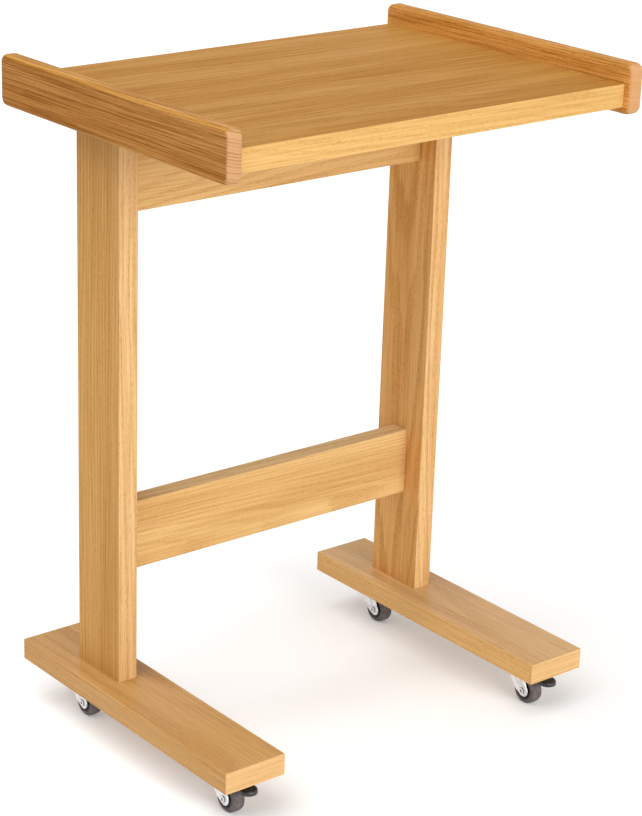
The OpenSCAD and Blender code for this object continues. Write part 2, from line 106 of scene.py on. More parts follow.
class Nodes:
    """Writes a node tree, one node at a time."""

    def __init__(self, tree: bpy.types.NodeTree) -> None:
        """Keeps the tree that the nodes go into."""
        self.tree = tree

    def feed(self, socket: Socket, value: Any) -> None:
        """Links an output to a socket, or sets the socket's own value.

        Args:
            socket: The input to fill.
            value: An output socket, a number, a colour, a vector or a material.
        """
        if isinstance(value, Socket):
            self.tree.links.new(value, socket)
        elif socket.type == "RGBA":
            socket.default_value = (*value, 1.0)
        else:
            socket.default_value = value

    def fill(self, node: bpy.types.Node, inputs: dict[Any, Any]) -> None:
        """Feeds a node's inputs, by name or number."""
        for key, value in inputs.items():
            self.feed(node.inputs[key], value)

    def add(self, kind: str, inputs: dict[Any, Any] | None = None, **settings: Any) -> bpy.types.Node:
        """Adds a node.

        Args:
            kind: The node's type name in Blender.
            inputs: Values by input name or number.
            **settings: Properties of the node itself.

        Returns:
            The new node.
        """
        node = self.tree.nodes.new(kind)
        for name, value in settings.items():
            setattr(node, name, value)
        self.fill(node, inputs or {})
        return node

    def here(self) -> Socket:
        """Adds the object's own coordinates and returns them."""
        return self.add("ShaderNodeTexCoord").outputs["Object"]

    def split(self, vector: Any) -> Sequence[Socket]:
        """Splits a vector and returns its three parts."""
        return self.add("ShaderNodeSeparateXYZ", {0: vector}).outputs

    def join(self, x: Any = 0.0, y: Any = 0.0, z: Any = 0.0) -> Socket:
        """Joins three numbers and returns the vector."""
        return self.add("ShaderNodeCombineXYZ", {0: x, 1: y, 2: z}).outputs[0]

    def grey(self, level: Any) -> Socket:
        """Makes a grey of one level and returns it."""
        return self.add("ShaderNodeCombineColor", {0: level, 1: level, 2: level}).outputs[0]

    def math(self, operation: str, *values: Any) -> Socket:
        """Adds a Math node and returns its output."""
        return self.add("ShaderNodeMath", dict(enumerate(values)), operation=operation).outputs[0]

    def span(self, value: Any, low: float, high: float, start: float = 0.0,
             end: float = 1.0) -> Socket:
        """Maps the range low..high to start..end with a smooth step, and returns the output."""
        inputs = {"Value": value, "From Min": low, "From Max": high, "To Min": start, "To Max": end}
        return self.add("ShaderNodeMapRange", inputs, interpolation_type="SMOOTHSTEP").outputs[0]

    def mix(self, factor: Any, first: Any, second: Any, blend: str = "MIX") -> Socket:
        """Mixes two colours and returns the output."""
        inputs = {0: factor, 6: first, 7: second}
        return self.add("ShaderNodeMix", inputs, data_type="RGBA", blend_type=blend).outputs[2]

    def distance(self, first: Any, second: Any) -> Socket:
        """Works out the length of a flat vector from its two parts, and returns it."""
        squares = [self.math("POWER", part, 2.0) for part in (first, second)]
        return self.math("SQRT", self.math("ADD", *squares))

    def noise(self, vector: Any, scale: float | Place, detail: float = 2.0,
              shift: float = 0.0) -> Socket:
        """Adds a noise.

        Args:
            vector: The coordinates to read.
            scale: Features per metre, or as many along each axis.
            detail: Octaves of finer noise.
            shift: Moves the pattern, so that two pieces differ.

        Returns:
            The noise, from 0 to 1 and mostly near a half.
        """
        each = (scale,) * 3 if isinstance(scale, float) else scale
        moved = {"Vector": vector, "Scale": each, "Location": (shift, shift, shift)}
        place = self.add("ShaderNodeMapping", moved).outputs[0]
        inputs = {"Vector": place, "Scale": 1.0, "Detail": detail}
        return self.add("ShaderNodeTexNoise", inputs).outputs[0]

    def bump(self, strength: float, depth: float, height: Any) -> Socket:
        """Adds a bump and returns its normal."""
        inputs = {"Strength": strength, "Distance": depth, "Height": height}
        return self.add("ShaderNodeBump", inputs).outputs[0]


class Surface(Nodes):
    """The tree of a new material, which has one Principled shader."""

    def __init__(self, name: str) -> None:
        """Starts the material.

        Args:
            name: Its name.
        """
        self.material = bpy.data.materials.new(name)
        self.material.use_nodes = True
        super().__init__(self.material.node_tree)
        self.tree.nodes.clear()
        self.shader = self.add("ShaderNodeBsdfPrincipled")
        self.add("ShaderNodeOutputMaterial", {"Surface": self.shader.outputs[0]})


# Finishes


@dataclass(frozen=True)
class Finish:
    """A finish that is worked out in object coordinates."""

    name: str

    def paint(self, surface: Surface) -> None:
        """Sets the shader's inputs, in each finish's own way."""
        raise NotImplementedError

    def build(self) -> Material:
        """Builds the material.

        Returns:
            The finished material.
        """
        surface = Surface(self.name)
        self.paint(surface)
        return surface.material


@dataclass(frozen=True)
class Oak(Finish):
    """Oak under a satin lacquer, cut from a log whose growth rings are worked out in space.

    The rings run round a pith line beside the board, so a face shows straight lines or
    cathedral arches by where it cuts them, and an end shows arcs. The faces that look along
    the edge axis get painted light or shade, paler or darker than the broad ones, in place of
    the sheen and light that fall on them. Gaps are metres, and a scale
    counts features per metre along the grain and across it. A board sets the centre itself.
    """

    grain: Axis
    pith: Point2
    centre: Place = (0.0, 0.0, 0.0)
    tilt: Point2 = (0.0, 0.0)
    light: Colour = tone(204, 160, 98)
    dark: Colour = tone(176, 124, 64)
    pore: Colour = tone(128, 84, 26)
    end: Colour = tone(190, 146, 103)
    edge: Axis = Axis.Z
    # Painted light or shade: a multiplier that makes the faces along the edge axis paler or darker
    painted_face_light: Colour = (1.0, 1.0, 1.0)
    ring_gap: float = 0.0035
    ring_depth: float = 0.5
    end_ring_share: float = 0.9
    sway: float = 0.006
    sway_scale: Point2 = (1.6, 11.0)
    ripple: float = 0.9
    ripple_scale: Point2 = (9.0, 90.0)
    cloud_depth: float = 0.35
    cloud_scale: Point2 = (2.2, 34.0)
    line_gap: float = 0.0014
    line_depth: float = 0.08
    line_run: float = 7.0
    dash_depth: float = 0.16
    dash_run: float = 30.0
    pore_depth: float = 0.42
    pore_scale: Point2 = (170.0, 2600.0)
    pore_height: float = 0.06 * MM
    darkest: Colour = (0.03, 0.03, 0.03)
    seed: float = 0.0
    roughness: float = 0.5
    gloss: float = 0.06
    coat: float = 0.0
    coat_roughness: float = 0.2

    def log_space(self, nodes: Nodes) -> tuple[Any, Any, Any]:
        """Gives coordinates along the grain and across it, about the board's centre.

        Args:
            nodes: The writer of the material's tree.

        Returns:
            The distance along the grain and the two distances across it.
        """
        middle = tuple(-part for part in self.centre)
        moved = nodes.add("ShaderNodeMapping", {"Vector": nodes.here(), "Location": middle}).outputs[0]
        parts = nodes.split(moved)
        order = {Axis.X: (0, 1, 2), Axis.Y: (1, 0, 2), Axis.Z: (2, 1, 0)}[self.grain]
        return tuple(parts[index] for index in order)

    def figure(self, nodes: Nodes, wood: Any, scale: Point2, detail: float, shift: float) -> Any:
        """Adds a noise with one scale along the grain and another across it, and returns it."""
        along, across = scale
        return nodes.noise(wood, (along, across, across), detail, self.seed + shift)

    def ring_turns(self, nodes: Nodes, wood: Any, along: Any, sides: Sequence[Any]) -> Any:
        """Counts the growth rings from the pith out to each point.

        Args:
            nodes: The writer of the material's tree.
            wood: The coordinates along and across the grain as one vector.
            along: The distance along the grain.
            sides: The two distances across it.

        Returns:
            The ring number, with its share of the year after the point.
        """
        offsets = []
        for distance, pith, tilt in zip(sides, self.pith, self.tilt):
            lean = nodes.math("MULTIPLY_ADD", along, tilt, -pith)
            offsets.append(nodes.math("ADD", distance, lean))
        radius = nodes.distance(*offsets)
        slow = self.figure(nodes, wood, self.sway_scale, 1.0, 1.7)
        ripple = self.figure(nodes, wood, self.ripple_scale, 2.0, 5.3)
        radius = nodes.math("MULTIPLY_ADD", slow, self.sway * 4, radius)
        radius = nodes.math("MULTIPLY_ADD", ripple, self.ring_gap * self.ripple, radius)
        return nodes.math("DIVIDE", radius, self.ring_gap)

    def year(self, nodes: Nodes, turns: Any) -> Any:
        """Gives each growth ring a number of its own, from 0 to 1."""
        ring = nodes.math("FLOOR", turns)
        return nodes.add("ShaderNodeTexWhiteNoise", {"W": ring}, noise_dimensions="1D").outputs[0]

    def facing(self, nodes: Nodes, axis: Axis) -> Any:
        """Finds how far the surface looks along an axis.

        Args:
            nodes: The writer of the material's tree.
            axis: The axis.

        Returns:
            A share from 0 to 1, which is full from about 37 degrees of lean.
        """
        parts = nodes.split(nodes.add("ShaderNodeTexCoord").outputs["Normal"])
        return nodes.span(nodes.math("ABSOLUTE", parts[axis.value]), 0.08, 0.6)

    def end_grain(self, nodes: Nodes, turns: Any) -> Any:
        """Gives the colour of a cut end, which shows each ring as a line of its own strength.

        Args:
            nodes: The writer of the material's tree.
            turns: The ring number at each point.

        Returns:
            The colour.
        """
        turns = nodes.math("MULTIPLY", turns, self.end_ring_share)
        line = nodes.span(nodes.math("FRACT", turns), 0.15, 0.8, 1.0, 0.0)
        line = nodes.math("MULTIPLY", line, nodes.span(self.year(nodes, turns), 0.0, 1.0, 0.05, 0.6))
        return nodes.mix(line, self.end, self.dark)

    def paint(self, surface: Surface) -> None:
        """Paints rings, dark dashes, pores and clouds over the base tone, and painted light or shade on the
        faces that look along the edge axis.

        The marks are set in shown brightness, so that a dark line takes as much from each channel.

        Args:
            surface: The material's tree.
        """
        span, mix, product = surface.span, surface.mix, partial(surface.math, "MULTIPLY")
        along, *sides = self.log_space(surface)
        wood = surface.join(along, *sides)
        turns = self.ring_turns(surface, wood, along, sides)
        share = surface.math("FRACT", turns)
        early = product(span(share, 0.0, 0.12), span(share, 0.15, 0.75, 1.0, 0.0))
        early = product(early, span(self.year(surface, turns), 0.0, 1.0, 0.35, 1.0))

        fine = 1 / self.line_gap
        cloud = self.figure(surface, wood, self.cloud_scale, 3.0, 9.1)
        lines = self.figure(surface, wood, (self.line_run, fine), 3.0, 3.9)
        dash = self.figure(surface, wood, (self.dash_run, fine * 1.6), 1.0, 7.7)
        pores = self.figure(surface, wood, self.pore_scale, 1.0, 2.2)

        light, dark, pore = shown(self.light), shown(self.dark), shown(self.pore)
        colour = mix(span(cloud, 0.35, 0.68, 0.0, self.cloud_depth), light, dark)
        colour = mix(product(early, self.ring_depth), colour, dark)
        dashes = product(span(dash, 0.48, 0.64), span(lines, 0.6, 0.4, 0.3, 1.0))
        colour = mix(product(dashes, self.dash_depth), colour, pore)
        pitted = product(span(pores, 0.55, 0.62), span(early, 0.0, 0.6, 0.25, 1.0))
        colour = mix(product(pitted, self.pore_depth), colour, pore)
        drop = span(lines, 0.34, 0.64, self.line_depth * 0.4, self.line_depth * -0.2)
        colour = mix(1.0, colour, surface.grey(drop), "SUBTRACT")
        colour = mix(1.0, colour, self.darkest, "LIGHTEN")
        colour = surface.add("ShaderNodeGamma", {"Color": colour, "Gamma": DISPLAY_POWER}).outputs[0]
        # Painted light and shade: the faces that look along the edge axis are made paler or darker
        face_lit = mix(1.0, colour, self.painted_face_light, "MULTIPLY")
        colour = mix(self.facing(surface, self.edge), colour, face_lit)
        colour = mix(self.facing(surface, self.grain), colour, self.end_grain(surface, turns))

        sheen = span(cloud, 0.3, 0.7, self.roughness - 0.04, self.roughness + 0.04)
        height = surface.math("SUBTRACT", product(lines, 0.25), pitted)
        surface.fill(surface.shader, {
            "Base Color": colour, "Roughness": surface.math("MULTIPLY_ADD", pitted, 0.22, sheen),
            "Specular IOR Level": self.gloss, "Coat Weight": self.coat,
            "Coat Roughness": self.coat_roughness,
            "Normal": surface.bump(0.5, self.pore_height, height)})


@dataclass(frozen=True)
class Beech(Finish):
    """Plain turned beech with short brown ray flecks."""

    light: Colour = tone(226, 190, 146)
    dark: Colour = tone(190, 146, 100)
    cloud_scale: float = 60.0
    fleck_scale: float = 900.0

    def paint(self, surface: Surface) -> None:
        """Paints soft clouds and the flecks.

        Args:
            surface: The material's tree.
        """
        span, place = surface.span, surface.here()
        cloud = surface.noise(place, self.cloud_scale)
        fleck = surface.noise(place, self.fleck_scale, 1.0, 4.0)
        mark = surface.math("ADD", span(cloud, 0.3, 0.7, 0.0, 0.5), span(fleck, 0.6, 0.7, 0.0, 0.5))
        surface.fill(surface.shader, {"Base Color": surface.mix(mark, self.light, self.dark),
                                      "Roughness": span(fleck, 0.3, 0.7, 0.55, 0.7)})


@dataclass(frozen=True)
class Steel(Finish):
    """Bright plated or polished steel: soft dulling in patches and fine rubbing."""

    bright: Colour = tone(234, 234, 237)
    dull: Colour = tone(208, 208, 213)
    roughness: float = 0.33
    cloud_scale: float = 140.0
    rub_scale: Place = (900.0, 900.0, 5000.0)
    rub_height: float = 0.03 * MM

    def paint(self, surface: Surface) -> None:
        """Paints the patches and the rubbing.

        Args:
            surface: The material's tree.
        """
        place = surface.here()
        cloud = surface.noise(place, self.cloud_scale, 3.0)
        rub = surface.noise(place, self.rub_scale, 2.0, 3.0)
        haze = surface.span(cloud, 0.3, 0.7, self.roughness - 0.06, self.roughness + 0.08)
        surface.fill(surface.shader, {
            "Base Color": surface.mix(surface.span(cloud, 0.35, 0.7), self.bright, self.dull),
            "Metallic": 1.0, "Roughness": surface.math("MULTIPLY_ADD", rub, 0.08, haze),
            "Normal": surface.bump(0.15, self.rub_height, rub)})


@dataclass(frozen=True)
class RivetSteel(Steel):
    """Steel of a hollow rivet along X, with painted shade in its bore and a painted shadow ring at the rim
    of its heads.
    """

    centre: Point2 = (0.0, 0.0)
    bore: float = 1.8 * MM
    rim: float = 3.7 * MM
    # Colour of the painted shade in the bore and of the painted shadow round each head's rim
    painted_shade: Colour = tone(74, 72, 74)

    def paint(self, surface: Surface) -> None:
        """Paints the steel, then paints shade into its bore and a shadow ring round the rim of its heads, by
        the distance from the rivet's axis.

        Args:
            surface: The material's tree.
        """
        super().paint(surface)
        parts = surface.split(surface.here())[1:]
        offsets = [surface.math("SUBTRACT", part, middle) for part, middle in zip(parts, self.centre)]
        radius = surface.distance(*offsets)
        # Painted shade inside the bore and a painted contact shadow round each head's rim, set by the radius
        # from the axis
        inside = surface.span(radius, self.bore - 0.3 * MM, self.bore + 0.2 * MM, 1.0, 0.0)
        around = surface.span(radius, self.rim - 0.2 * MM, self.rim + 0.2 * MM, 0.0, 0.8)
        base = surface.shader.inputs["Base Color"]
        painted_shade_mask = surface.math("MAXIMUM", inside, around)
        surface.feed(base, surface.mix(painted_shade_mask, base.links[0].from_socket, self.painted_shade))


@dataclass(frozen=True)
class Dark(Finish):
    """A dark surface with a fine moulded or painted grain: paint, nylon or rubber."""

    colour: Colour
    dusty: Colour
    roughness: float
    grain: float = 0.5 * MM
    gloss: float = 0.5
    grain_height: float = 0.02 * MM
    dust_scale: float = 160.0

    def paint(self, surface: Surface) -> None:
        """Paints the grain under a film of dust.

        Args:
            surface: The material's tree.
        """
        span, place = surface.span, surface.here()
        dust = surface.noise(place, self.dust_scale, 3.0, 1.3)
        grain = surface.noise(place, 1 / self.grain, 1.0, 6.1)
        film = surface.math("MULTIPLY", span(dust, 0.4, 0.75), span(grain, 0.35, 0.7, 0.5, 1.0))
        surface.fill(surface.shader, {
            "Base Color": surface.mix(film, self.colour, self.dusty),
            "Roughness": span(dust, 0.3, 0.7, self.roughness - 0.05, self.roughness + 0.07),
            "Specular IOR Level": self.gloss, "Normal": surface.bump(0.4, self.grain_height, grain)})


# Flat outlines and profiles


@dataclass(frozen=True)
class Corner:
    """A round corner of a flat outline: the centre and radius of its circle."""

    centre: Point2
    radius: float


def box_corners(low: Point2, high: Point2, *radii: float) -> list[Corner]:
    """Gives the four corners of a rectangle, counter-clockwise from the lowest one.

    Args:
        low: Its lowest corner.
        high: Its highest corner.
        *radii: One radius for all its corners, or four.

    Returns:
        The four corners.
    """
    four = radii * 4 if len(radii) == 1 else radii
    ends = ((low[0], low[1]), (high[0], low[1]), (high[0], high[1]), (low[0], high[1]))
    inward = ((1, 1), (-1, 1), (-1, -1), (1, -1))
    corners = []
    for (x, y), (right, up), radius in zip(ends, inward, four):
        corners.append(Corner((x + right * radius, y + up * radius), radius))
    return corners


def outline_samples(corners: Sequence[Corner], steps: int) -> list[tuple[Corner, Vector]]:
    """Walks round the outline that is pulled tight round some circles.

    Args:
        corners: The circles, counter-clockwise.
        steps: How many pieces the arc at each corner has.

    Returns:
        The corner and the outward normal of each sample.
    """
    normals = []
    for here, after in zip(corners, [*corners[1:], corners[0]]):
        run = Vector(after.centre) - Vector(here.centre)
        way = run.normalized()
        lean = (here.radius - after.radius) / run.length
        normals.append(way * lean + Vector((way.y, -way.x)) * math.sqrt(1 - lean * lean))
    samples = []
    for index, corner in enumerate(corners):
        start, end = normals[index - 1], normals[index]
        first = math.atan2(start.y, start.x)
        sweep = (math.atan2(end.y, end.x) - first) % math.tau
        for step in range(steps + 1):
            angle = first + sweep * step / steps
            samples.append((corner, Vector((math.cos(angle), math.sin(angle)))))
    return samples


def soften(points: Sequence[Place], steps: int = 4) -> list[Point2]:
    """Rounds the corners of a closed profile.

    Args:
        points: The radius, the distance along the axis and the rounding of each corner.
        steps: How many pieces each rounding has.

    Returns:
        The points of the rounded profile.
    """
    result = []
    for index, (radius, along, rounding) in enumerate(points):
        here = Vector((radius, along))
        if rounding == 0:
            result.append(tuple(here))
            continue
        before = (Vector(points[index - 1][:2]) - here).normalized()
        after = (Vector(points[(index + 1) % len(points)][:2]) - here).normalized()
        half = before.angle(after) / 2
        middle = here + (before + after).normalized() * rounding / math.sin(half)
        start = here + before * rounding / math.tan(half) - middle
        end = here + after * rounding / math.tan(half) - middle
        turn = start.angle_signed(end)
        for step in range(steps + 1):
            angle = -turn * step / steps
            spoke = Matrix.Rotation(angle, 2) @ start
            result.append(tuple(middle + spoke))
    return result


def both_sides(half: Sequence[Place], steps: int = 4) -> list[Point2]:
    """Rounds a closed profile that is the same on both sides of zero.

    Args:
        half: The corners of one side, as for soften.
        steps: How many pieces each rounding has.

    Returns:
        The points of the whole rounded profile.
    """
    other = [(radius, -along, rounding) for radius, along, rounding in reversed(half)]
    return soften([*half, *other], steps)


# Meshes


def set_out(facing: Axis, flat: Point2, height: float) -> Vector:
    """Places a point of a plate or a turned piece in space.

    Args:
        facing: The axis that the plate faces, or that the piece turns about.
        flat: The point across that axis, in X, Y, Z order.
        height: The distance along that axis.

    Returns:
        The point in the row frame.
    """
    if facing is Axis.X:
        return Vector((height, *flat))
    if facing is Axis.Y:
        return Vector((flat[0], height, flat[1]))
    return Vector((*flat, height))


class Shells:
    """Collects closed shells in millimetres about one origin, and makes one mesh of them."""

    def __init__(self, origin: Place = (0.0, 0.0, 0.0)) -> None:
        """Starts with no shells.

        Args:
            origin: Where the shells' own zero lies in the row frame, in metres.
        """
        self.origin = Vector(origin)
        self.vertices: list[Vector] = []
        self.faces: list[tuple[int, ...]] = []

    def loop(self, points: Sequence[Vector]) -> list[int]:
        """Adds a row of vertices.

        Args:
            points: Where they lie.

        Returns:
            Their numbers.
        """
        start = len(self.vertices)
        self.vertices.extend(points)
        return list(range(start, len(self.vertices)))

    def bridge(self, loops: Sequence[Sequence[int]], around: bool = True) -> None:
        """Joins each loop to the next one with quads.

        Args:
            loops: Loops with equal counts.
            around: Whether each loop closes on itself.
        """
        for below, above in zip(loops, loops[1:]):
            for index in range(len(below) if around else len(below) - 1):
                after = (index + 1) % len(below)
                self.faces.append((below[index], below[after], above[after], above[index]))

    def plate(self, facing: Axis, corners: Sequence[Corner], low: float, high: float,
              ease: float, steps: int = 6, ease_steps: int = 4,
              hole: Corner | None = None) -> "Shells":
        """Adds a flat plate with a convex outline and rounded edges.

        Args:
            facing: The axis that its faces look along.
            corners: The corners of the outline, counter-clockwise.
            low: Where it starts along that axis.
            high: Where it ends.
            ease: The radius of the edges, no larger than the corners' radii.
            steps: How many pieces each corner has.
            ease_steps: How many pieces each edge's quarter round has.
            hole: The circle of a round hole through it.

        Returns:
            The same collection.
        """
        samples = outline_samples(corners, steps)
        angles = [math.pi / 2 * step / ease_steps for step in range(ease_steps + 1)]
        turns = [(low + ease, -angle) for angle in reversed(angles)]
        turns += [(high - ease, angle) for angle in angles]
        loops = []
        for centre, angle in turns:
            inset = ease * (1 - math.cos(angle))
            height = centre + ease * math.sin(angle)
            flats = [Vector(corner.centre) + normal * (corner.radius - inset) for corner, normal in samples]
            loops.append(self.loop([set_out(facing, tuple(flat), height) for flat in flats]))
        self.bridge(loops)
        if hole is None:
            self.faces += [tuple(loops[0]), tuple(loops[-1])]
            return self
        rim = [tuple(Vector(hole.centre) + normal * hole.radius) for _, normal in samples]
        bore = [self.loop([set_out(facing, flat, height) for flat in rim]) for height in (high, low)]
        self.bridge([loops[-1], *bore, loops[0]])
        return self

    def turned(self, about: Axis, middle: Point2, profile: Sequence[Point2], steps: int = 72,
               start: float = 0.0, sweep: float = math.tau) -> "Shells":
        """Adds a closed profile turned about an axis.

        Args:
            about: The axis.
            middle: Where the axis stands, across it.
            profile: The radius and the distance along the axis of each corner.
            steps: How many pieces the turn has.
            start: The angle at which a part turn starts.
            sweep: The angle that it turns through.

        Returns:
            The same collection.
        """
        whole = sweep == math.tau
        loops = []
        for step in range(steps if whole else steps + 1):
            angle = start + sweep * step / steps
            across = Vector((math.cos(angle), math.sin(angle)))
            flats = [(Vector(middle) + across * radius, along) for radius, along in profile]
            loops.append(self.loop([set_out(about, tuple(flat), along) for flat, along in flats]))
        self.bridge(loops + loops[:1] if whole else loops)
        if not whole:
            self.faces += [tuple(loops[0]), tuple(loops[-1])]
        return self

    def build(self, name: str, material: Material) -> Piece:
        """Makes the object, with doubles merged, bare edges gone and faces turned outwards.

        Args:
            name: Its name.
            material: The finish of every face.

        Returns:
            The object, linked into the scene.
        """
        data = bpy.data.meshes.new(name)
        data.from_pydata([tuple(self.origin + point * MM) for point in self.vertices], [], self.faces)
        work = bmesh.new()
        work.from_mesh(data)
        bmesh.ops.remove_doubles(work, verts=work.verts, dist=0.0001 * MM)
        bare = [edge for edge in work.edges if not edge.link_faces]
        bmesh.ops.delete(work, geom=bare, context="EDGES")
        bmesh.ops.recalc_face_normals(work, faces=work.faces)
        work.to_mesh(data)
        work.free()
        return show(name, data, material)


def link(name: str, data: bpy.types.ID) -> Piece:
    """Puts an object into the scene.

    Args:
        name: The object's name.
        data: Its mesh, camera or light.

    Returns:
        The object.
    """
    added = bpy.data.objects.new(name, data)
    bpy.context.scene.collection.objects.link(added)
    return added


def show(name: str, data: bpy.types.Mesh, material: Material) -> Piece:
    """Makes a shaded object of a mesh and links it into the scene.

    Args:
        name: The object's name.
        data: Its mesh.
        material: The finish of every face.

    Returns:
        The object.
    """
    data.materials.clear()
    data.materials.append(material)
    data.shade_smooth()
    data.set_sharp_from_angle(angle=SMOOTH_BELOW)
    piece = link(name, data)
    piece.modifiers.new("Even shading", "WEIGHTED_NORMAL").keep_sharp = True
    return piece


def settle(piece: Piece, body: str, slot: str, *nodes: str) -> None:
    """Hands a finished piece to the frame and reports it.

    Args:
        piece: The piece, in place.
        body: The body that it moves with.
        slot: The record's material slot; not used.
        *nodes: The solids that it stands for.
    """
    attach(piece, body)
    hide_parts(*nodes)
    log.info("%s rides on %s with %d faces", piece.name, body, len(piece.data.polygons))


def dress(node: str, material: Material) -> None:
    """Gives a solid that stays in view its finish.

    Args:
        node: The node's name.
        material: Its finish.
    """
    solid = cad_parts[node]
    if not solid.material_slots:
        solid.data.materials.append(material)
    for slot in solid.material_slots:
        slot.material = material
    log.info("%s keeps its solid", node)


# Repeated pieces


class Kit:
    """A Geometry Nodes tree that sets a copy of one small shape on every point it is given."""

    def __init__(self, name: str, sizes: dict[str, float]) -> None:
        """Starts the tree and its named inputs.

        Args:
            name: The tree's name.
            sizes: The value of each named input: metres, a share, or a whole number.
        """
        tree = bpy.data.node_groups.new(name, "GeometryNodeTree")
        self.nodes = Nodes(tree)
        self.sizes = sizes
        tree.interface.new_socket("Geometry", in_out="INPUT", socket_type="NodeSocketGeometry")
        for size, value in sizes.items():
            kind = "NodeSocketInt" if isinstance(value, int) else "NodeSocketFloat"
            tree.interface.new_socket(size, in_out="INPUT", socket_type=kind)
        tree.interface.new_socket("Geometry", in_out="OUTPUT", socket_type="NodeSocketGeometry")
        self.given = self.nodes.add("NodeGroupInput").outputs

    def raised(self, shape: Any, height: Any) -> Any:
        """Lifts a shape by a height and returns it."""
        lift = {"Geometry": shape, "Translation": self.nodes.join(z=height)}
        return self.nodes.add("GeometryNodeTransform", lift).outputs[0]

    def finish(self, shape: Any, material: Material, turn: Any = (0.0, 0.0, 0.0)) -> None:
        """Puts the shape on the points and closes the tree.

        Args:
            shape: The output that holds the shape.
            material: The finish of every copy.
            turn: How each copy is turned, in radians about X, Y and Z.
        """
        copies = {"Points": self.given["Geometry"], "Instance": shape, "Rotation": turn}
        spread = self.nodes.add("GeometryNodeInstanceOnPoints", copies).outputs[0]
        real = self.nodes.add("GeometryNodeRealizeInstances", {0: spread}).outputs[0]
        finish = {"Geometry": real, "Material": material}
        dressed = self.nodes.add("GeometryNodeSetMaterial", finish).outputs[0]
        self.nodes.add("NodeGroupOutput", {"Geometry": dressed})

    def lay(self, name: str, places: Sequence[Place], material: Material) -> Piece:
        """Runs the tree over some places and keeps the result as a plain mesh.

        Args:
            name: The name of the piece.
            places: One point for each copy, in metres.
            material: The finish.

        Returns:
            The piece.
        """
        points = bpy.data.meshes.new(name)
        points.from_pydata(places, [], [])
        carrier = link(name + "_points", points)
        modifier = carrier.modifiers.new("Copies", "NODES")
        modifier.node_group = self.nodes.tree
        for item in self.nodes.tree.interface.items_tree:
            if item.in_out == "INPUT" and item.name in self.sizes:
                modifier[item.identifier] = self.sizes[item.name]
        graph = bpy.context.evaluated_depsgraph_get()
        data = bpy.data.meshes.new_from_object(carrier.evaluated_get(graph))
        carrier.modifiers.remove(modifier)
        bpy.data.objects.remove(carrier)
        data.name = name
        return show(name, data, material)


def screw_kit(material: Material) -> Kit:
    """Makes the tree of a wood screw with a cross recess, whose head hangs under its point.

    Args:
        material: The finish of the screws.
    """
    kit = Kit("Wood screws", {"Head radius": 3.5 * MM, "Head height": 1.8 * MM, "Head taper": 0.74,
                              "Head sides": 40, "Shank radius": 1.75 * MM, "Shank sides": 24,
                              "Length": 16 * MM, "Point length": 2.0, "Point width": 0.25,
                              "Recess reach": 1.15, "Recess width": 0.9 * MM,
                              "Recess depth": 1.1 * MM, "Seed": 7})
    nodes, given, times = kit.nodes, kit.given, partial(kit.nodes.math, "MULTIPLY")
    under = times(given["Head height"], -1.0)
    cone = {"Vertices": given["Head sides"], "Radius Top": given["Head radius"],
            "Radius Bottom": times(given["Head radius"], given["Head taper"]), "Depth": given["Head height"]}
    head = kit.raised(nodes.add("GeometryNodeMeshCone", cone).outputs["Mesh"], under)
    cut = nodes.add("GeometryNodeMeshBoolean", {"Mesh 1": head}, operation="DIFFERENCE", solver="EXACT")
    reach = times(given["Head radius"], given["Recess reach"])
    deep, wide = times(given["Recess depth"], 2.0), given["Recess width"]
    for size in ((reach, wide, deep), (wide, reach, deep)):
        bar = nodes.add("GeometryNodeMeshCube", {"Size": nodes.join(*size)}).outputs["Mesh"]
        nodes.feed(cut.inputs["Mesh 2"], kit.raised(bar, under))
    point = times(given["Shank radius"], given["Point length"])
    blunt = times(given["Shank radius"], given["Point width"])
    straight = nodes.math("SUBTRACT", given["Length"], point)
    rod = {"Vertices": given["Shank sides"], "Radius": given["Shank radius"], "Depth": straight}
    shank = nodes.add("GeometryNodeMeshCylinder", rod).outputs["Mesh"]
    cone = {"Vertices": given["Shank sides"], "Radius Top": blunt,
            "Radius Bottom": given["Shank radius"], "Depth": point}
    tip = nodes.add("GeometryNodeMeshCone", cone).outputs["Mesh"]
    whole = nodes.add("GeometryNodeJoinGeometry")
    for part in (cut.outputs[0], kit.raised(shank, times(straight, 0.5)), kit.raised(tip, straight)):
        nodes.feed(whole.inputs[0], part)
    turn = nodes.add("FunctionNodeRandomValue", {"Min": (0.0, 0.0, 0.0), "Max": (0.0, 0.0, math.tau),
                                                 "Seed": given["Seed"]}, data_type="FLOAT_VECTOR").outputs[0]
    kit.finish(whole.outputs[0], material, turn)
    return kit


def ball_kit(material: Material) -> Kit:
    """Makes the tree of a bearing ball.

    Args:
        material: The finish of the balls.
    """
    kit = Kit("Bearing balls", {"Ball radius": 1.2 * MM, "Roundness": 3})
    sphere = {"Radius": kit.given["Ball radius"], "Subdivisions": kit.given["Roundness"]}
    kit.finish(kit.nodes.add("GeometryNodeMeshIcoSphere", sphere).outputs["Mesh"], material)
    return kit


# The table


@dataclass(frozen=True)
class Board:
    """One board: the solid that it stands for, how it is shaped and its oak.

    The plate faces the axis that its ends or its broad sides look along, and has one
    radius at every corner of its outline, or four from the lowest corner round.
    """

    node: str
    slot: str
    facing: Axis
    radii: tuple[float, ...]
    ease: float
    oak: Oak

    def build(self) -> Piece:
        """Builds the board from its solid's box.

        Returns:
            The piece, which rides on the table.
        """
        low, high = (Vector(corner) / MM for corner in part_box(self.node))
        oak = replace(self.oak, centre=tuple((low + high) / 2 * MM))
        level = self.facing.value
        flat_low = tuple(value for axis, value in enumerate(low) if axis != level)
        flat_high = tuple(value for axis, value in enumerate(high) if axis != level)
        shells = Shells()
        corners = box_corners(flat_low, flat_high, *self.radii)
        shells.plate(self.facing, corners, low[level], high[level], self.ease)
        piece = shells.build(self.node + "_board", oak.build())
        settle(piece, TABLE, self.slot, self.node)
        return piece


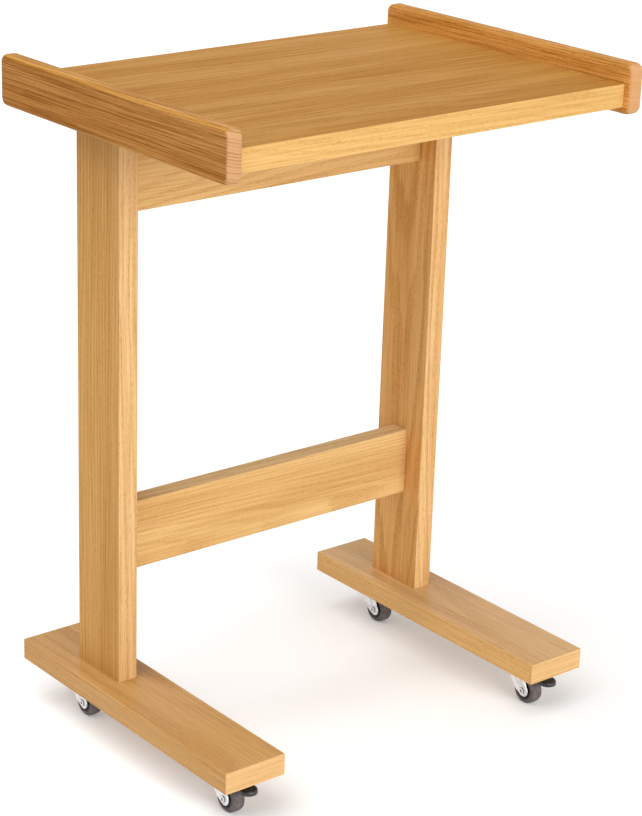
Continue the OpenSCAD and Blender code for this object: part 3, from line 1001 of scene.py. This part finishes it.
@dataclass(frozen=True)
class TableTop:
    """The panel with its two edge bands, and the rails at its ends. Sizes are millimetres."""

    panel_edge: float = 0.2
    band_edge: float = 0.45
    rail_corner: float = 9.0
    rail_edge: float = 4.5

    def panel(self) -> None:
        """Builds the veneered panel."""
        oak = Oak("table_top_oak", Axis.X, (0.35, 0.02), tilt=(0.05, 0.006), ring_gap=0.011,
                  ring_depth=0.42, sway=0.02, line_depth=0.11, dash_depth=0.19, pore_depth=0.34,
                  cloud_depth=0.5, gloss=0.03, seed=21.0,
                  light=tone(187, 138, 71), dark=tone(162, 108, 44))
        Board("table_top", "oak_top", Axis.X, (self.panel_edge,), self.panel_edge, oak).build()

    def bands(self) -> None:
        """Builds the oak bands on the front and rear edges."""
        inner, outer = self.panel_edge, self.band_edge
        for node, radii in (("top_front_band", (outer, inner, inner, outer)),
                            ("top_rear_band", (inner, outer, outer, inner))):
            oak = Oak(node + "_oak", Axis.X, (0.3, 0.14), tilt=(0.0, 0.1), ring_gap=0.0045,
                      ring_depth=0.14, line_depth=0.07, dash_depth=0.09, pore_depth=0.3,
                      cloud_depth=0.2, seed=24.0, light=tone(208, 166, 104), dark=tone(190, 142, 74))
            Board(node, "oak_edge", Axis.X, radii, inner, oak).build()

    def rails(self) -> None:
        """Builds the two solid end rails."""
        # The lift value is painted light on each rail's top and bottom faces: paler on the left rail, darker
        # on the right. The right rail's paler tones are partly its own tone and partly painted light that
        # the top throws onto its inner face.
        left = ("left_rail", 31.0, tone(174, 120, 59), tone(142, 85, 16), (1.34, 1.52, 1.66), 0.64)
        right = ("right_rail", 47.0, tone(219, 159, 86), tone(189, 120, 39), (0.84, 0.84, 0.8), 0.52)
        for node, seed, light, dark, lift, depth in (left, right):
            oak = Oak(node + "_oak", Axis.Y, (0.03, 0.24), tilt=(0.01, 0.03), ring_gap=0.0027,
                      ring_depth=0.6 * depth, line_gap=0.0016, line_depth=0.3 * depth,
                      dash_depth=0.55 * depth, pore_depth=0.42, cloud_depth=0.3, painted_face_light=lift,
                      coat=0.06, seed=seed, light=light, dark=dark, pore=tone(112, 62, 4))
            Board(node, "oak_rail", Axis.X, (self.rail_corner,), self.rail_edge, oak).build()

    def build(self) -> None:
        """Builds every piece of the top."""
        self.panel()
        self.bands()
        self.rails()


@dataclass(frozen=True)
class Stand:
    """Columns, apron, stretcher and feet. Sizes are millimetres."""

    edge: float = 1.0
    joint: float = 0.15
    band_edge: float = 0.45

    def columns(self) -> None:
        """Builds the two columns."""
        # The last value is painted sheen: it makes each column's front and back faces paler and less yellow.
        left = ("left_column", 5.0, (0.26, 0.2), (0.0, 0.01), 0.0042,
                tone(201, 155, 93), tone(173, 119, 54), (1.1, 1.24, 1.8))
        right = ("right_column", 61.0, (0.01, 0.06), (0.004, 0.035), 0.0055,
                 tone(223, 171, 105), tone(190, 125, 58), (0.96, 1.11, 1.54))
        for node, seed, pith, tilt, ring_gap, light, dark, lift in (left, right):
            oak = Oak(node + "_oak", Axis.Z, pith, tilt=tilt, ring_gap=ring_gap, ring_depth=0.36,
                      seed=seed, light=light, dark=dark, edge=Axis.Y, painted_face_light=lift)
            Board(node, "oak_column", Axis.Z, (self.edge,), self.joint, oak).build()

    def cross_boards(self) -> None:
        """Builds the apron and the stretcher."""
        # The face light value below is painted light: it makes the tops and bottoms of the apron and
        # stretcher paler.
        apron = ("apron", 71.0, (-0.16, 0.04), (0.06, 0.02), 0.006)
        stretcher = ("stretcher", 85.0, (-0.045, -0.034), (0.035, 0.006), 0.0042)
        for node, seed, pith, tilt, ring_gap in (apron, stretcher):
            oak = Oak(node + "_oak", Axis.X, pith, tilt=tilt, ring_gap=ring_gap, ring_depth=0.42,
                      sway=0.007, seed=seed, line_depth=0.07, dash_depth=0.1, pore_depth=0.3,
                      cloud_depth=0.5, light=tone(209, 169, 112), dark=tone(184, 136, 79),
                      painted_face_light=(1.12, 1.24, 1.5))
            Board(node, "oak_cross", Axis.X, (self.edge,), self.joint, oak).build()

    def feet(self) -> None:
        """Builds the two feet and the bands on their ends."""
        # The last value of each foot is painted light on its sides that face along X: slightly paler and
        # less blue.
        tones = {"left": (97.0, tone(194, 150, 93), tone(169, 118, 62), (1.02, 1.0, 0.93)),
                 "right": (113.0, tone(218, 177, 124), tone(194, 145, 88), (1.07, 1.03, 0.84))}
        for side, (seed, light, dark, lift) in tones.items():
            node = side + "_foot"
            oak = Oak(node + "_oak", Axis.Y, (0.02, 0.25), tilt=(0.0, 0.01), ring_gap=0.004,
                      ring_depth=0.34, seed=seed, light=light, dark=dark, edge=Axis.X,
                      painted_face_light=lift, roughness=0.28, gloss=0.14)
            Board(node, "oak_foot", Axis.Y, (self.edge,), self.joint, oak).build()
            for band in (node + "_front_band", node + "_rear_band"):
                oak = Oak(band + "_oak", Axis.X, (0.2, 0.1), ring_gap=0.004, ring_depth=0.2,
                          line_depth=0.07, dash_depth=0.1, pore_depth=0.3, seed=seed + 3,
                          light=tone(212, 172, 120), dark=tone(194, 151, 97))
                Board(band, "oak_edge", Axis.Y, (self.edge,), self.band_edge, oak).build()

    def build(self) -> None:
        """Builds every piece of the stand."""
        self.columns()
        self.cross_boards()
        self.feet()


@dataclass(frozen=True)
class Joinery:
    """Dowels and column screws, which stay as their solids."""

    dowels: tuple[str, ...] = ("rail_dowels", "frame_dowels", "top_dowels")

    def build(self, screw_steel: Material) -> None:
        """Dresses the dowels and the screws.

        Args:
            screw_steel: The finish of the screws.
        """
        beech = Beech("dowel_beech").build()
        for node in self.dowels:
            dress(node, beech)
        dress("column_screws", screw_steel)


@dataclass(frozen=True)
class CastorFinishes:
    """The finishes that all castors share."""

    sheet: Material
    screw: Material
    ball: Material
    paint: Material
    nylon: Material
    rubber: Material


@dataclass(frozen=True)
class Castor:
    """A swivel castor about its own axis, with the sizes of its solids in millimetres."""

    corner: str
    origin: Place
    finishes: CastorFinishes
    plate_half: float = 19.0
    plate_corner: float = 4.0
    plate_low: float = 48.0
    plate_high: float = 50.0
    plate_edge: float = 0.4
    hole_pitch: float = 28.0
    cup_low: float = 46.1
    cup_radius: float = 12.5
    cup_edge: float = 0.5
    ball_level: float = 45.8
    ball_circle: float = 8.4
    ball_count: int = 12
    groove_half: float = 1.2416
    groove_bed: float = 0.7
    groove_depth: float = 0.95
    groove_edge: float = 0.4
    king_radius: float = 2.5
    king_fit: float = 0.05
    king_gap: float = 0.1
    king_head: float = 4.5
    king_head_height: float = 1.4
    king_head_roll: float = 0.84
    rivet_edge: float = 0.1
    crown_low: float = 43.3
    crown_high: float = 45.5
    crown_radius: float = 13.5
    crown_bend: float = 1.2
    crown_edge: float = 0.2
    skirt_low: float = 41.7
    skirt_sink: float = 0.4
    skirt_steps: int = 60
    sheet_thick: float = 1.5
    sheet_edge: float = 0.35
    fine_edge: float = 0.3
    corner_steps: int = 12
    edge_steps: int = 3
    fork_inner: float = 9.0
    nose: Corner = Corner((-20.0, 17.5), 7.2)
    throat: Corner = Corner((-10.4, 20.5), 5.2)
    shoulder: Corner = Corner((5.0, 39.7), 4.0)
    lug: Corner = Corner((-13.0, 38.5), 4.5)
    tab_half: float = 8.1
    tab_low: float = 38.0
    tab_sink: float = 0.6
    tab_corner: float = 0.4
    tab_steps: int = 2
    trail: float = 18.0
    play: float = 0.08
    axle_level: float = 17.0
    axle_radius: float = 2.5
    axle_bore: float = 1.6
    axle_head: float = 4.0
    axle_head_height: float = 1.1
    axle_roll: float = 0.5
    axle_edge: float = 0.15
    hub_radius: float = 5.0
    hub_half: float = 8.7
    hub_edge: float = 0.5
    web_half: float = 4.5
    dish_radius: float = 9.7
    dish_bend: float = 0.9
    core_radius: float = 11.5
    core_half: float = 7.0
    core_edge: float = 0.2
    rib_height: float = 1.0
    rib_half: float = 2.0
    tyre_fit: float = 0.05
    tyre_half: float = 7.9
    tyre_round: float = 3.8
    tyre_steps: int = 5
    tread_radius: float = 17.0
    tread_half: float = 2.0
    tread_crown: float = 0.5
    tread_bend: float = 1.0
    wheel_steps: int = 96

    @property
    def fork_outer(self) -> float:
        """The outer face of a cheek, from the castor's middle plane."""
        return self.fork_inner + self.sheet_thick

    @property
    def axle(self) -> Point2:
        """The axle's place as Y and Z."""
        return -self.trail, self.axle_level

    def named(self, part: str) -> str:
        """Names one of the castor's own nodes or bodies."""
        return f"{self.corner}_{part}"

    def place(self, shells: Shells, part: str, body: str, slot: str, material: Material) -> None:
        """Builds a piece for one of the castor's nodes and hands it to the frame.

        Args:
            shells: Its shells.
            part: The node's name after the castor's own.
            body: The body that it rides on.
            slot: The record's material slot.
            material: Its finish.
        """
        node = self.named(part)
        settle(shells.build(node + "_piece", material), body, slot, node)

    def groove(self, level: float, depth: float) -> list[Place]:
        """Gives the corners of the balls' groove, from its inner edge out.

        Args:
            level: The level of the face that it is pressed into.
            depth: How far its bed lies above that level.

        Returns:
            The radius, level and rounding of each corner.
        """
        half, bed, circle = self.groove_half, self.groove_bed, self.ball_circle
        return [(circle - half, level, 0), (circle - bed, level + depth, self.groove_edge),
                (circle + bed, level + depth, self.groove_edge), (circle + half, level, 0)]

    def plate(self) -> None:
        """Builds the mounting plate with its ball cup."""
        half, edge = self.plate_half, self.plate_edge
        shells = Shells(self.origin)
        shells.plate(Axis.Z, box_corners((-half, -half), (half, half), self.plate_corner),
                     self.plate_low, self.plate_high, edge)
        bore, lip, crest = self.king_radius + self.king_fit, self.cup_low, self.plate_low + edge
        profile = soften([(bore, lip, 0), *self.groove(lip, self.groove_depth),
                          (self.cup_radius, lip, self.cup_edge), (self.cup_radius, crest, 0),
                          (bore, crest, 0)])
        shells.turned(Axis.Z, (0.0, 0.0), profile)
        self.place(shells, "castor_plate", TABLE, "zinc_sheet", self.finishes.sheet)

    def fixings(self, screws: Kit, balls: Kit) -> None:
        """Sets the plate screws and the ring of balls.

        Args:
            screws: The tree of the wood screws.
            balls: The tree of the bearing balls.
        """
        reach = self.hole_pitch / 2
        spots = [(x, y, self.plate_low) for x in (-reach, reach) for y in (-reach, reach)]
        swivel, finishes = self.named("swivel"), self.finishes
        rows = (("plate_screws", spots, screws, TABLE, "zinc_screw", finishes.screw),
                ("balls", self.ball_spots(), balls, swivel, "bearing_steel", finishes.ball))
        for part, spots, kit, body, slot, material in rows:
            node = self.named(part)
            places = [tuple(Vector(self.origin) + Vector(spot) * MM) for spot in spots]
            settle(kit.lay(node + "_piece", places, material), body, slot, node)

    def ball_spots(self) -> list[Place]:
        """Sets out the balls round their circle.

        Returns:
            Their middles in the castor's own millimetres.
        """
        spots = []
        for index in range(self.ball_count):
            angle = math.tau * index / self.ball_count
            across = self.ball_circle * math.cos(angle), self.ball_circle * math.sin(angle)
            spots.append((*across, self.ball_level))
        return spots

    def king_rivet(self) -> None:
        """Builds the rivet on which the fork turns."""
        shank, head, thick, gap = self.king_radius, self.king_head, self.king_head_height, self.king_gap
        low, high = self.crown_low - gap - thick, self.plate_high - gap - thick
        profile = soften([(0, low, 0), (head, low, self.king_head_roll),
                          (head, low + thick, self.rivet_edge), (shank, low + thick, 0),
                          (shank, high, 0), (head, high, self.rivet_edge),
                          (head, high + thick, self.fine_edge), (0, high + thick, 0)])
        shells = Shells(self.origin).turned(Axis.Z, (0.0, 0.0), profile)
        self.place(shells, "king_rivet", TABLE, "zinc_sheet", self.finishes.sheet)

    def fork(self) -> None:
        """Builds the pressed fork: its crown with the ball groove, its skirt and its two cheeks."""
        shells = Shells(self.origin)
        bore, rim = self.king_radius + self.play, self.crown_radius
        low, top, thin, fine = self.crown_low, self.crown_high, self.crown_edge, self.fine_edge
        groove = reversed(self.groove(top, -self.groove_depth))
        profile = [(bore, low, thin), (rim, low, thin), (rim, top, self.crown_bend), *groove,
                   (bore, top, fine)]
        shells.turned(Axis.Z, (0.0, 0.0), soften(profile))
        opening = math.asin(self.fork_inner / rim)
        within, inner, root = rim - SKIN, rim - self.sheet_thick, low + self.skirt_sink
        wall = soften([(inner, self.skirt_low, fine), (within, self.skirt_low, fine),
                       (within, root, 0), (inner, root, 0)])
        shells.turned(Axis.Z, (0.0, 0.0), wall, self.skirt_steps, opening - math.pi / 2,
                      math.tau - 2 * opening)
        cheek, edge = (self.nose, self.throat, self.shoulder, self.lug), self.sheet_edge
        tab = box_corners((-self.tab_half, self.tab_low), (self.tab_half, low + self.tab_sink),
                          self.tab_corner)
        for start, end in ((-self.fork_outer, -self.fork_inner), (self.fork_inner, self.fork_outer)):
            shells.plate(Axis.X, cheek, start, end, edge, self.corner_steps, self.edge_steps)
            shells.plate(Axis.X, tab, start + SKIN, end - SKIN, edge, self.tab_steps, self.edge_steps)
        self.place(shells, "fork", self.named("swivel"), "zinc_sheet", self.finishes.sheet)

    def axle_rivet(self) -> None:
        """Builds the hollow axle rivet with its rolled heads."""
        bore, shank, head, roll = self.axle_bore, self.axle_radius, self.axle_head, self.axle_roll
        inner, outer = -self.fork_outer, -self.fork_outer - self.axle_head_height
        profile = both_sides([(shank, inner, 0), (head, inner, self.axle_edge), (head, outer, roll),
                              (bore, outer, roll)])
        shells = Shells(self.origin).turned(Axis.X, self.axle, profile)
        centre = (self.origin[1] + self.axle[0] * MM, self.origin[2] + self.axle[1] * MM)
        steel = RivetSteel(self.named("axle_steel"), centre=centre).build()
        self.place(shells, "axle", self.named("swivel"), "zinc_sheet", steel)

    def wheel(self) -> None:
        """Builds the nylon core with its rib, and the rubber tyre that is moulded over it."""
        hub, dish, rim, edge = self.hub_radius, self.dish_radius, self.core_radius, self.core_edge
        rib, bend = rim + self.rib_height, self.dish_bend
        core = both_sides([(self.axle_radius + self.play, self.hub_half, edge),
                           (hub, self.hub_half, self.hub_edge), (hub, self.web_half, bend),
                           (dish, self.web_half, bend),
                           (dish, self.core_half, self.fine_edge), (rim, self.core_half, edge),
                           (rim, self.rib_half, 0), (rib, self.rib_half, edge)])
        shells = Shells(self.origin).turned(Axis.X, self.axle, core, self.wheel_steps)
        self.place(shells, "wheel_core", self.named("wheel"), "core_plastic", self.finishes.nylon)
        fit, half, tread = self.tyre_fit, self.tyre_half, self.tread_radius
        tyre = both_sides([(rib + fit, self.rib_half + fit, edge), (rim + fit, self.rib_half + fit, 0),
                           (rim + fit, half, self.fine_edge),
                           (tread - self.tread_crown, half, self.tyre_round),
                           (tread, self.tread_half, self.tread_bend)], self.tyre_steps)
        shells = Shells(self.origin).turned(Axis.X, self.axle, tyre, self.wheel_steps)
        self.place(shells, "tyre", self.named("wheel"), "tread_rubber", self.finishes.rubber)

    def build(self, screws: Kit, balls: Kit) -> None:
        """Builds every piece of the castor.

        Args:
            screws: The tree of the wood screws.
            balls: The tree of the bearing balls.
        """
        self.plate()
        self.fixings(screws, balls)
        self.king_rivet()
        self.fork()
        self.axle_rivet()
        self.wheel()


@dataclass(frozen=True)
class BrakedCastor(Castor):
    """A castor with a pedal whose shoe meets the tread."""

    pedal_top: float = 41.3
    pedal_low: float = 35.8
    pedal_sheet: float = 1.6
    pedal_bend: float = 2.4
    pedal_half: float = 10.0
    pedal_back: float = -25.0
    pedal_tip: float = -58.5
    nose_steps: int = 28
    bend_steps: int = 5
    lip_edge: float = 0.3
    neck_corner: float = 1.0
    neck_edge: float = 0.4
    neck_sink: float = 2.0
    neck_lap: float = 1.0
    neck_steps: int = 4
    wing_outer: float = 8.7
    wing_radius: float = 3.4
    wing_low: float = 35.8
    wing_front: float = -29.0
    wing_corner: float = 0.5
    wing_drop: float = 0.2
    pin_radius: float = 1.5
    pin_head: float = 2.3
    pin_head_height: float = 0.8
    pin_head_roll: float = 0.5
    pin_steps: int = 40
    shoe_radius: float = 18.8
    shoe_from: float = 4.0
    shoe_to: float = 20.0
    shoe_steps: int = 10

    @property
    def pivot(self) -> Point2:
        """The pin's place as Y and Z, in the middle of the fork's lugs."""
        return self.lug.centre

    def tread_line(self, inset: float, level: float) -> list[Vector]:
        """Gives a line along one side of the tread plate, round its tip and back along the other.

        Args:
            inset: How far the line lies inside the plate's edge.
            level: Its height.

        Returns:
            The points of the line.
        """
        half, middle, steps = self.pedal_half - inset, self.pedal_tip + self.pedal_half, self.nose_steps
        line = [Vector((-half, self.pedal_back, level))]
        for step in range(steps + 1):
            angle = math.pi + math.pi * step / steps
            line.append(Vector((half * math.cos(angle), middle + half * math.sin(angle), level)))
        line.append(Vector((half, self.pedal_back, level)))
        return line

    def tread_plate(self, shells: Shells) -> None:
        """Adds the tread plate with its turned-down lip, open at the back.

        Args:
            shells: Where it goes.
        """
        bend, sheet, edge, steps = self.pedal_bend, self.pedal_sheet, self.lip_edge, self.bend_steps
        lines = []
        for step in range(steps + 1):
            angle = math.pi / 2 * (1 - step / steps)
            lines.append((bend * (1 - math.cos(angle)), self.pedal_top - bend * (1 - math.sin(angle))))
        lines += [(0.0, self.pedal_low + edge), (edge, self.pedal_low), (sheet - edge, self.pedal_low),
                  (sheet, self.pedal_low + edge), (sheet, self.pedal_top - sheet - edge),
                  (sheet + edge, self.pedal_top - sheet)]
        loops = [shells.loop(self.tread_line(inset, level)) for inset, level in lines]
        shells.bridge(loops, around=False)
        shells.faces += [tuple(loops[0]), tuple(loops[-1])]
        shells.faces.append(tuple([loop[0] for loop in loops] + [loop[-1] for loop in reversed(loops)]))

    def shoe(self, shells: Shells) -> None:
        """Adds the shoe under the pedal, hollowed to the tread's curve.

        Args:
            shells: Where it goes.
        """
        steps, half = self.shoe_steps, self.wing_outer - self.pedal_sheet / 2
        bottom = []
        for step in range(steps + 1):
            angle = math.radians(self.shoe_from + (self.shoe_to - self.shoe_from) * step / steps)
            bottom.append((-self.trail - self.shoe_radius * math.sin(angle),
                           self.axle_level + self.shoe_radius * math.cos(angle)))
        top = self.pedal_top - self.pedal_sheet / 2
        outline = bottom + [(bottom[-1][0], top), (bottom[0][0], top)]
        loops = [shells.loop([Vector((x, *point)) for point in outline]) for x in (-half, half)]
        shells.bridge(loops)
        shells.faces += [tuple(loops[0]), tuple(loops[1])]

    def pedal(self) -> None:
        """Builds the pressed pedal: its tread plate, neck, wings with their pin holes and shoe."""
        shells = Shells(self.origin)
        self.tread_plate(shells)
        bore = self.pin_radius + self.play
        before_pin, neck_back = self.pivot[0] - bore, self.pivot[0] + self.wing_radius / 2
        neck = (SKIN, self.pedal_back - self.neck_sink, before_pin, self.pedal_top - self.pedal_sheet + SKIN)
        over_pin = (2 * SKIN, before_pin - self.neck_lap, neck_back, self.pivot[1] + bore)
        for skin, front, back, low in (neck, over_pin):
            half = self.wing_outer - skin
            shells.plate(Axis.Z, box_corners((-half, front), (half, back), self.neck_corner), low,
                         self.pedal_top - skin, self.neck_edge, self.neck_steps, self.edge_steps)
        small = self.wing_corner
        front, top = self.wing_front + small, self.pedal_top - self.wing_drop - small
        wing = [Corner((front, self.wing_low + small), small), Corner(self.pivot, self.wing_radius),
                Corner((front, top), small)]
        hole = Corner(self.pivot, bore)
        for low in (-self.wing_outer, self.wing_outer - self.pedal_sheet):
            shells.plate(Axis.X, wing, low, low + self.pedal_sheet, self.fine_edge, self.corner_steps,
                         self.edge_steps, hole)
        self.shoe(shells)
        self.place(shells, "brake_pedal", self.named("pedal"), "pedal_paint", self.finishes.paint)

    def pin(self) -> None:
        """Builds the pedal's pivot pin with its rounded heads."""
        inner, outer = self.fork_outer, self.fork_outer + self.pin_head_height
        profile = both_sides([(0, outer, 0), (self.pin_head, outer, self.pin_head_roll),
                              (self.pin_head, inner, self.rivet_edge), (self.pin_radius, inner, 0)])
        shells = Shells(self.origin).turned(Axis.X, self.pivot, profile, self.pin_steps)
        self.place(shells, "brake_pin", self.named("swivel"), "zinc_sheet", self.finishes.sheet)

    def build(self, screws: Kit, balls: Kit) -> None:
        """Builds the castor, its pedal and its pin.

        Args:
            screws: The tree of the wood screws.
            balls: The tree of the bearing balls.
        """
        super().build(screws, balls)
        self.pedal()
        self.pin()


@dataclass(frozen=True)
class Castors:
    """The four castors, which stand where their plates' solids stand."""

    braked: tuple[str, ...] = ("front_left", "front_right")
    plain: tuple[str, ...] = ("rear_left", "rear_right")

    def build(self, finishes: CastorFinishes) -> None:
        """Builds the castors.

        Args:
            finishes: The finishes that they share.
        """
        screws, balls = screw_kit(finishes.screw), ball_kit(finishes.ball)
        for make, corners in ((BrakedCastor, self.braked), (Castor, self.plain)):
            for corner in corners:
                low, high = (Vector(end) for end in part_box(f"{corner}_castor_plate"))
                middle = (low + high) / 2
                make(corner, (middle.x, middle.y, 0.0), finishes).build(screws, balls)


# Camera and light


@dataclass(frozen=True)
class Camera:
    """The photograph's view, in metres and degrees.

    The focal length, the picture and its centre are pixels, and the sensor is millimetres.
    """

    place: Place = (-1.5681, -1.9102, 1.2848)
    azimuth: float = -38.05
    elevation: float = 21.273
    roll: float = 1.36
    focal: float = 2369.6
    centre: Point2 = (260.0, 443.97)
    picture: Point2 = (642.0, 816.0)
    sensor: float = 36.0
    nearest: float = 0.01
    farthest: float = 200.0

    def build(self) -> None:
        """Sets the scene's camera."""
        azimuth, elevation, roll = map(math.radians, (self.azimuth, self.elevation, self.roll))
        right = Vector((math.cos(azimuth), math.sin(azimuth), 0.0))
        back = Vector((math.sin(azimuth) * math.cos(elevation), -math.cos(azimuth) * math.cos(elevation),
                       math.sin(elevation)))
        up = back.cross(right)
        across = right * math.cos(roll) + up * math.sin(roll)
        upright = up * math.cos(roll) - right * math.sin(roll)
        turn = Matrix((across, upright, back)).transposed().to_4x4()
        data = bpy.data.cameras.new("camera")
        data.sensor_width = self.sensor
        data.lens = self.sensor * self.focal / max(self.picture)
        data.shift_x = (self.picture[0] / 2 - self.centre[0]) / max(self.picture)
        data.shift_y = (self.centre[1] - self.picture[1] / 2) / max(self.picture)
        data.clip_start, data.clip_end = self.nearest, self.farthest
        camera = link("camera", data)
        camera.matrix_world = Matrix.Translation(self.place) @ turn
        bpy.context.scene.camera = camera


@dataclass(frozen=True)
class Lamp:
    """A distant soft light: where it comes from, how strong it is and how wide it looks."""

    name: str
    towards: Place
    strength: float
    width: float

    def build(self) -> None:
        """Adds the light."""
        data = bpy.data.lights.new(self.name, "SUN")
        data.energy = self.strength * math.pi
        data.angle = math.radians(self.width)
        lamp = link(self.name, data)
        lamp.rotation_euler = Vector(self.towards).to_track_quat("Z", "Y").to_euler()


@dataclass(frozen=True)
class Studio:
    """A plain pale floor under soft light, with a white surround in the picture."""

    ambient: float = 0.4
    key: Lamp = Lamp("key_light", (-0.05, -0.97, 0.14), 1.08, 50.0)
    overhead: Lamp = Lamp("overhead_light", (-0.45, 0.0, 0.89), 0.66, 60.0)
    floor_half: float = 60.0
    floor_tone: float = 0.9
    floor_glow: float = 0.16
    floor_roughness: float = 0.9
    floor_gloss: float = 0.1
    mottle_scale: float = 3.0
    mottle_depth: float = 0.01

    def seen(self, nodes: Nodes) -> Any:
        """Tells rays that show the background, straight or in gloss or glass, from light.

        Args:
            nodes: The writer of a material's or the world's tree.

        Returns:
            One for such a ray and zero for any other.
        """
        path = nodes.add("ShaderNodeLightPath").outputs
        direct = nodes.math("MAXIMUM", path["Is Camera Ray"], path["Is Glossy Ray"])
        return nodes.math("MAXIMUM", direct, path["Is Transmission Ray"])

    def world(self) -> None:
        """Makes the surround white to the camera and in reflections, and softer as a light."""
        world = bpy.data.worlds.new("surround")
        world.use_nodes = True
        nodes = Nodes(world.node_tree)
        nodes.tree.nodes.clear()
        level = nodes.math("MULTIPLY_ADD", self.seen(nodes), 1.0 - self.ambient, self.ambient)
        sky = nodes.add("ShaderNodeBackground", {"Color": WHITE, "Strength": level}).outputs[0]
        nodes.add("ShaderNodeOutputWorld", {"Surface": sky})
        bpy.context.scene.world = world

    def floor(self) -> None:
        """Lays the floor, lifted a little to the eye so that it is white outside the shadow."""
        half, middle, depth = self.floor_half, self.floor_tone, self.mottle_depth
        surface = Surface("floor_paint")
        mottle = surface.noise(surface.here(), self.mottle_scale)
        level = surface.span(mottle, 0.2, 0.8, middle - depth, middle + depth)
        glow = surface.math("MULTIPLY", self.seen(surface), self.floor_glow)
        surface.fill(surface.shader, {
            "Base Color": surface.grey(level), "Roughness": self.floor_roughness,
            "Specular IOR Level": self.floor_gloss, "Emission Color": WHITE, "Emission Strength": glow})
        data = bpy.data.meshes.new("floor")
        corners = [(-half, -half, 0), (half, -half, 0), (half, half, 0), (-half, half, 0)]
        data.from_pydata(corners, [], [(0, 1, 2, 3)])
        data.materials.append(surface.material)
        link("floor", data)

    def build(self) -> None:
        """Builds the surround, the floor and the lights."""
        self.world()
        self.floor()
        self.key.build()
        self.overhead.build()
        bpy.context.scene.view_settings.view_transform = "Standard"


def main() -> None:
    """Builds the camera, the table and the studio in order, and reports each piece."""
    logging.basicConfig(level=logging.INFO, format="%(message)s")
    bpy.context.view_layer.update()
    Camera().build()
    finishes = CastorFinishes(
        sheet=Steel("zinc_sheet_steel").build(),
        screw=Steel("zinc_screw_steel", roughness=0.28).build(),
        ball=Steel("ball_steel", tone(226, 226, 230), tone(206, 207, 212), 0.14).build(),
        paint=Dark("pedal_paint", tone(34, 31, 32), tone(58, 54, 55), 0.38, 0.3 * MM).build(),
        nylon=Dark("core_nylon", tone(40, 37, 38), tone(62, 58, 60), 0.5).build(),
        rubber=Dark("tread_rubber", tone(80, 71, 70), tone(116, 105, 103), 0.6, 0.4 * MM).build(),
    )
    TableTop().build()
    Stand().build()
    Joinery().build(finishes.screw)
    Castors().build(finishes)
    Studio().build()


if __name__ == "__main__":
    main()
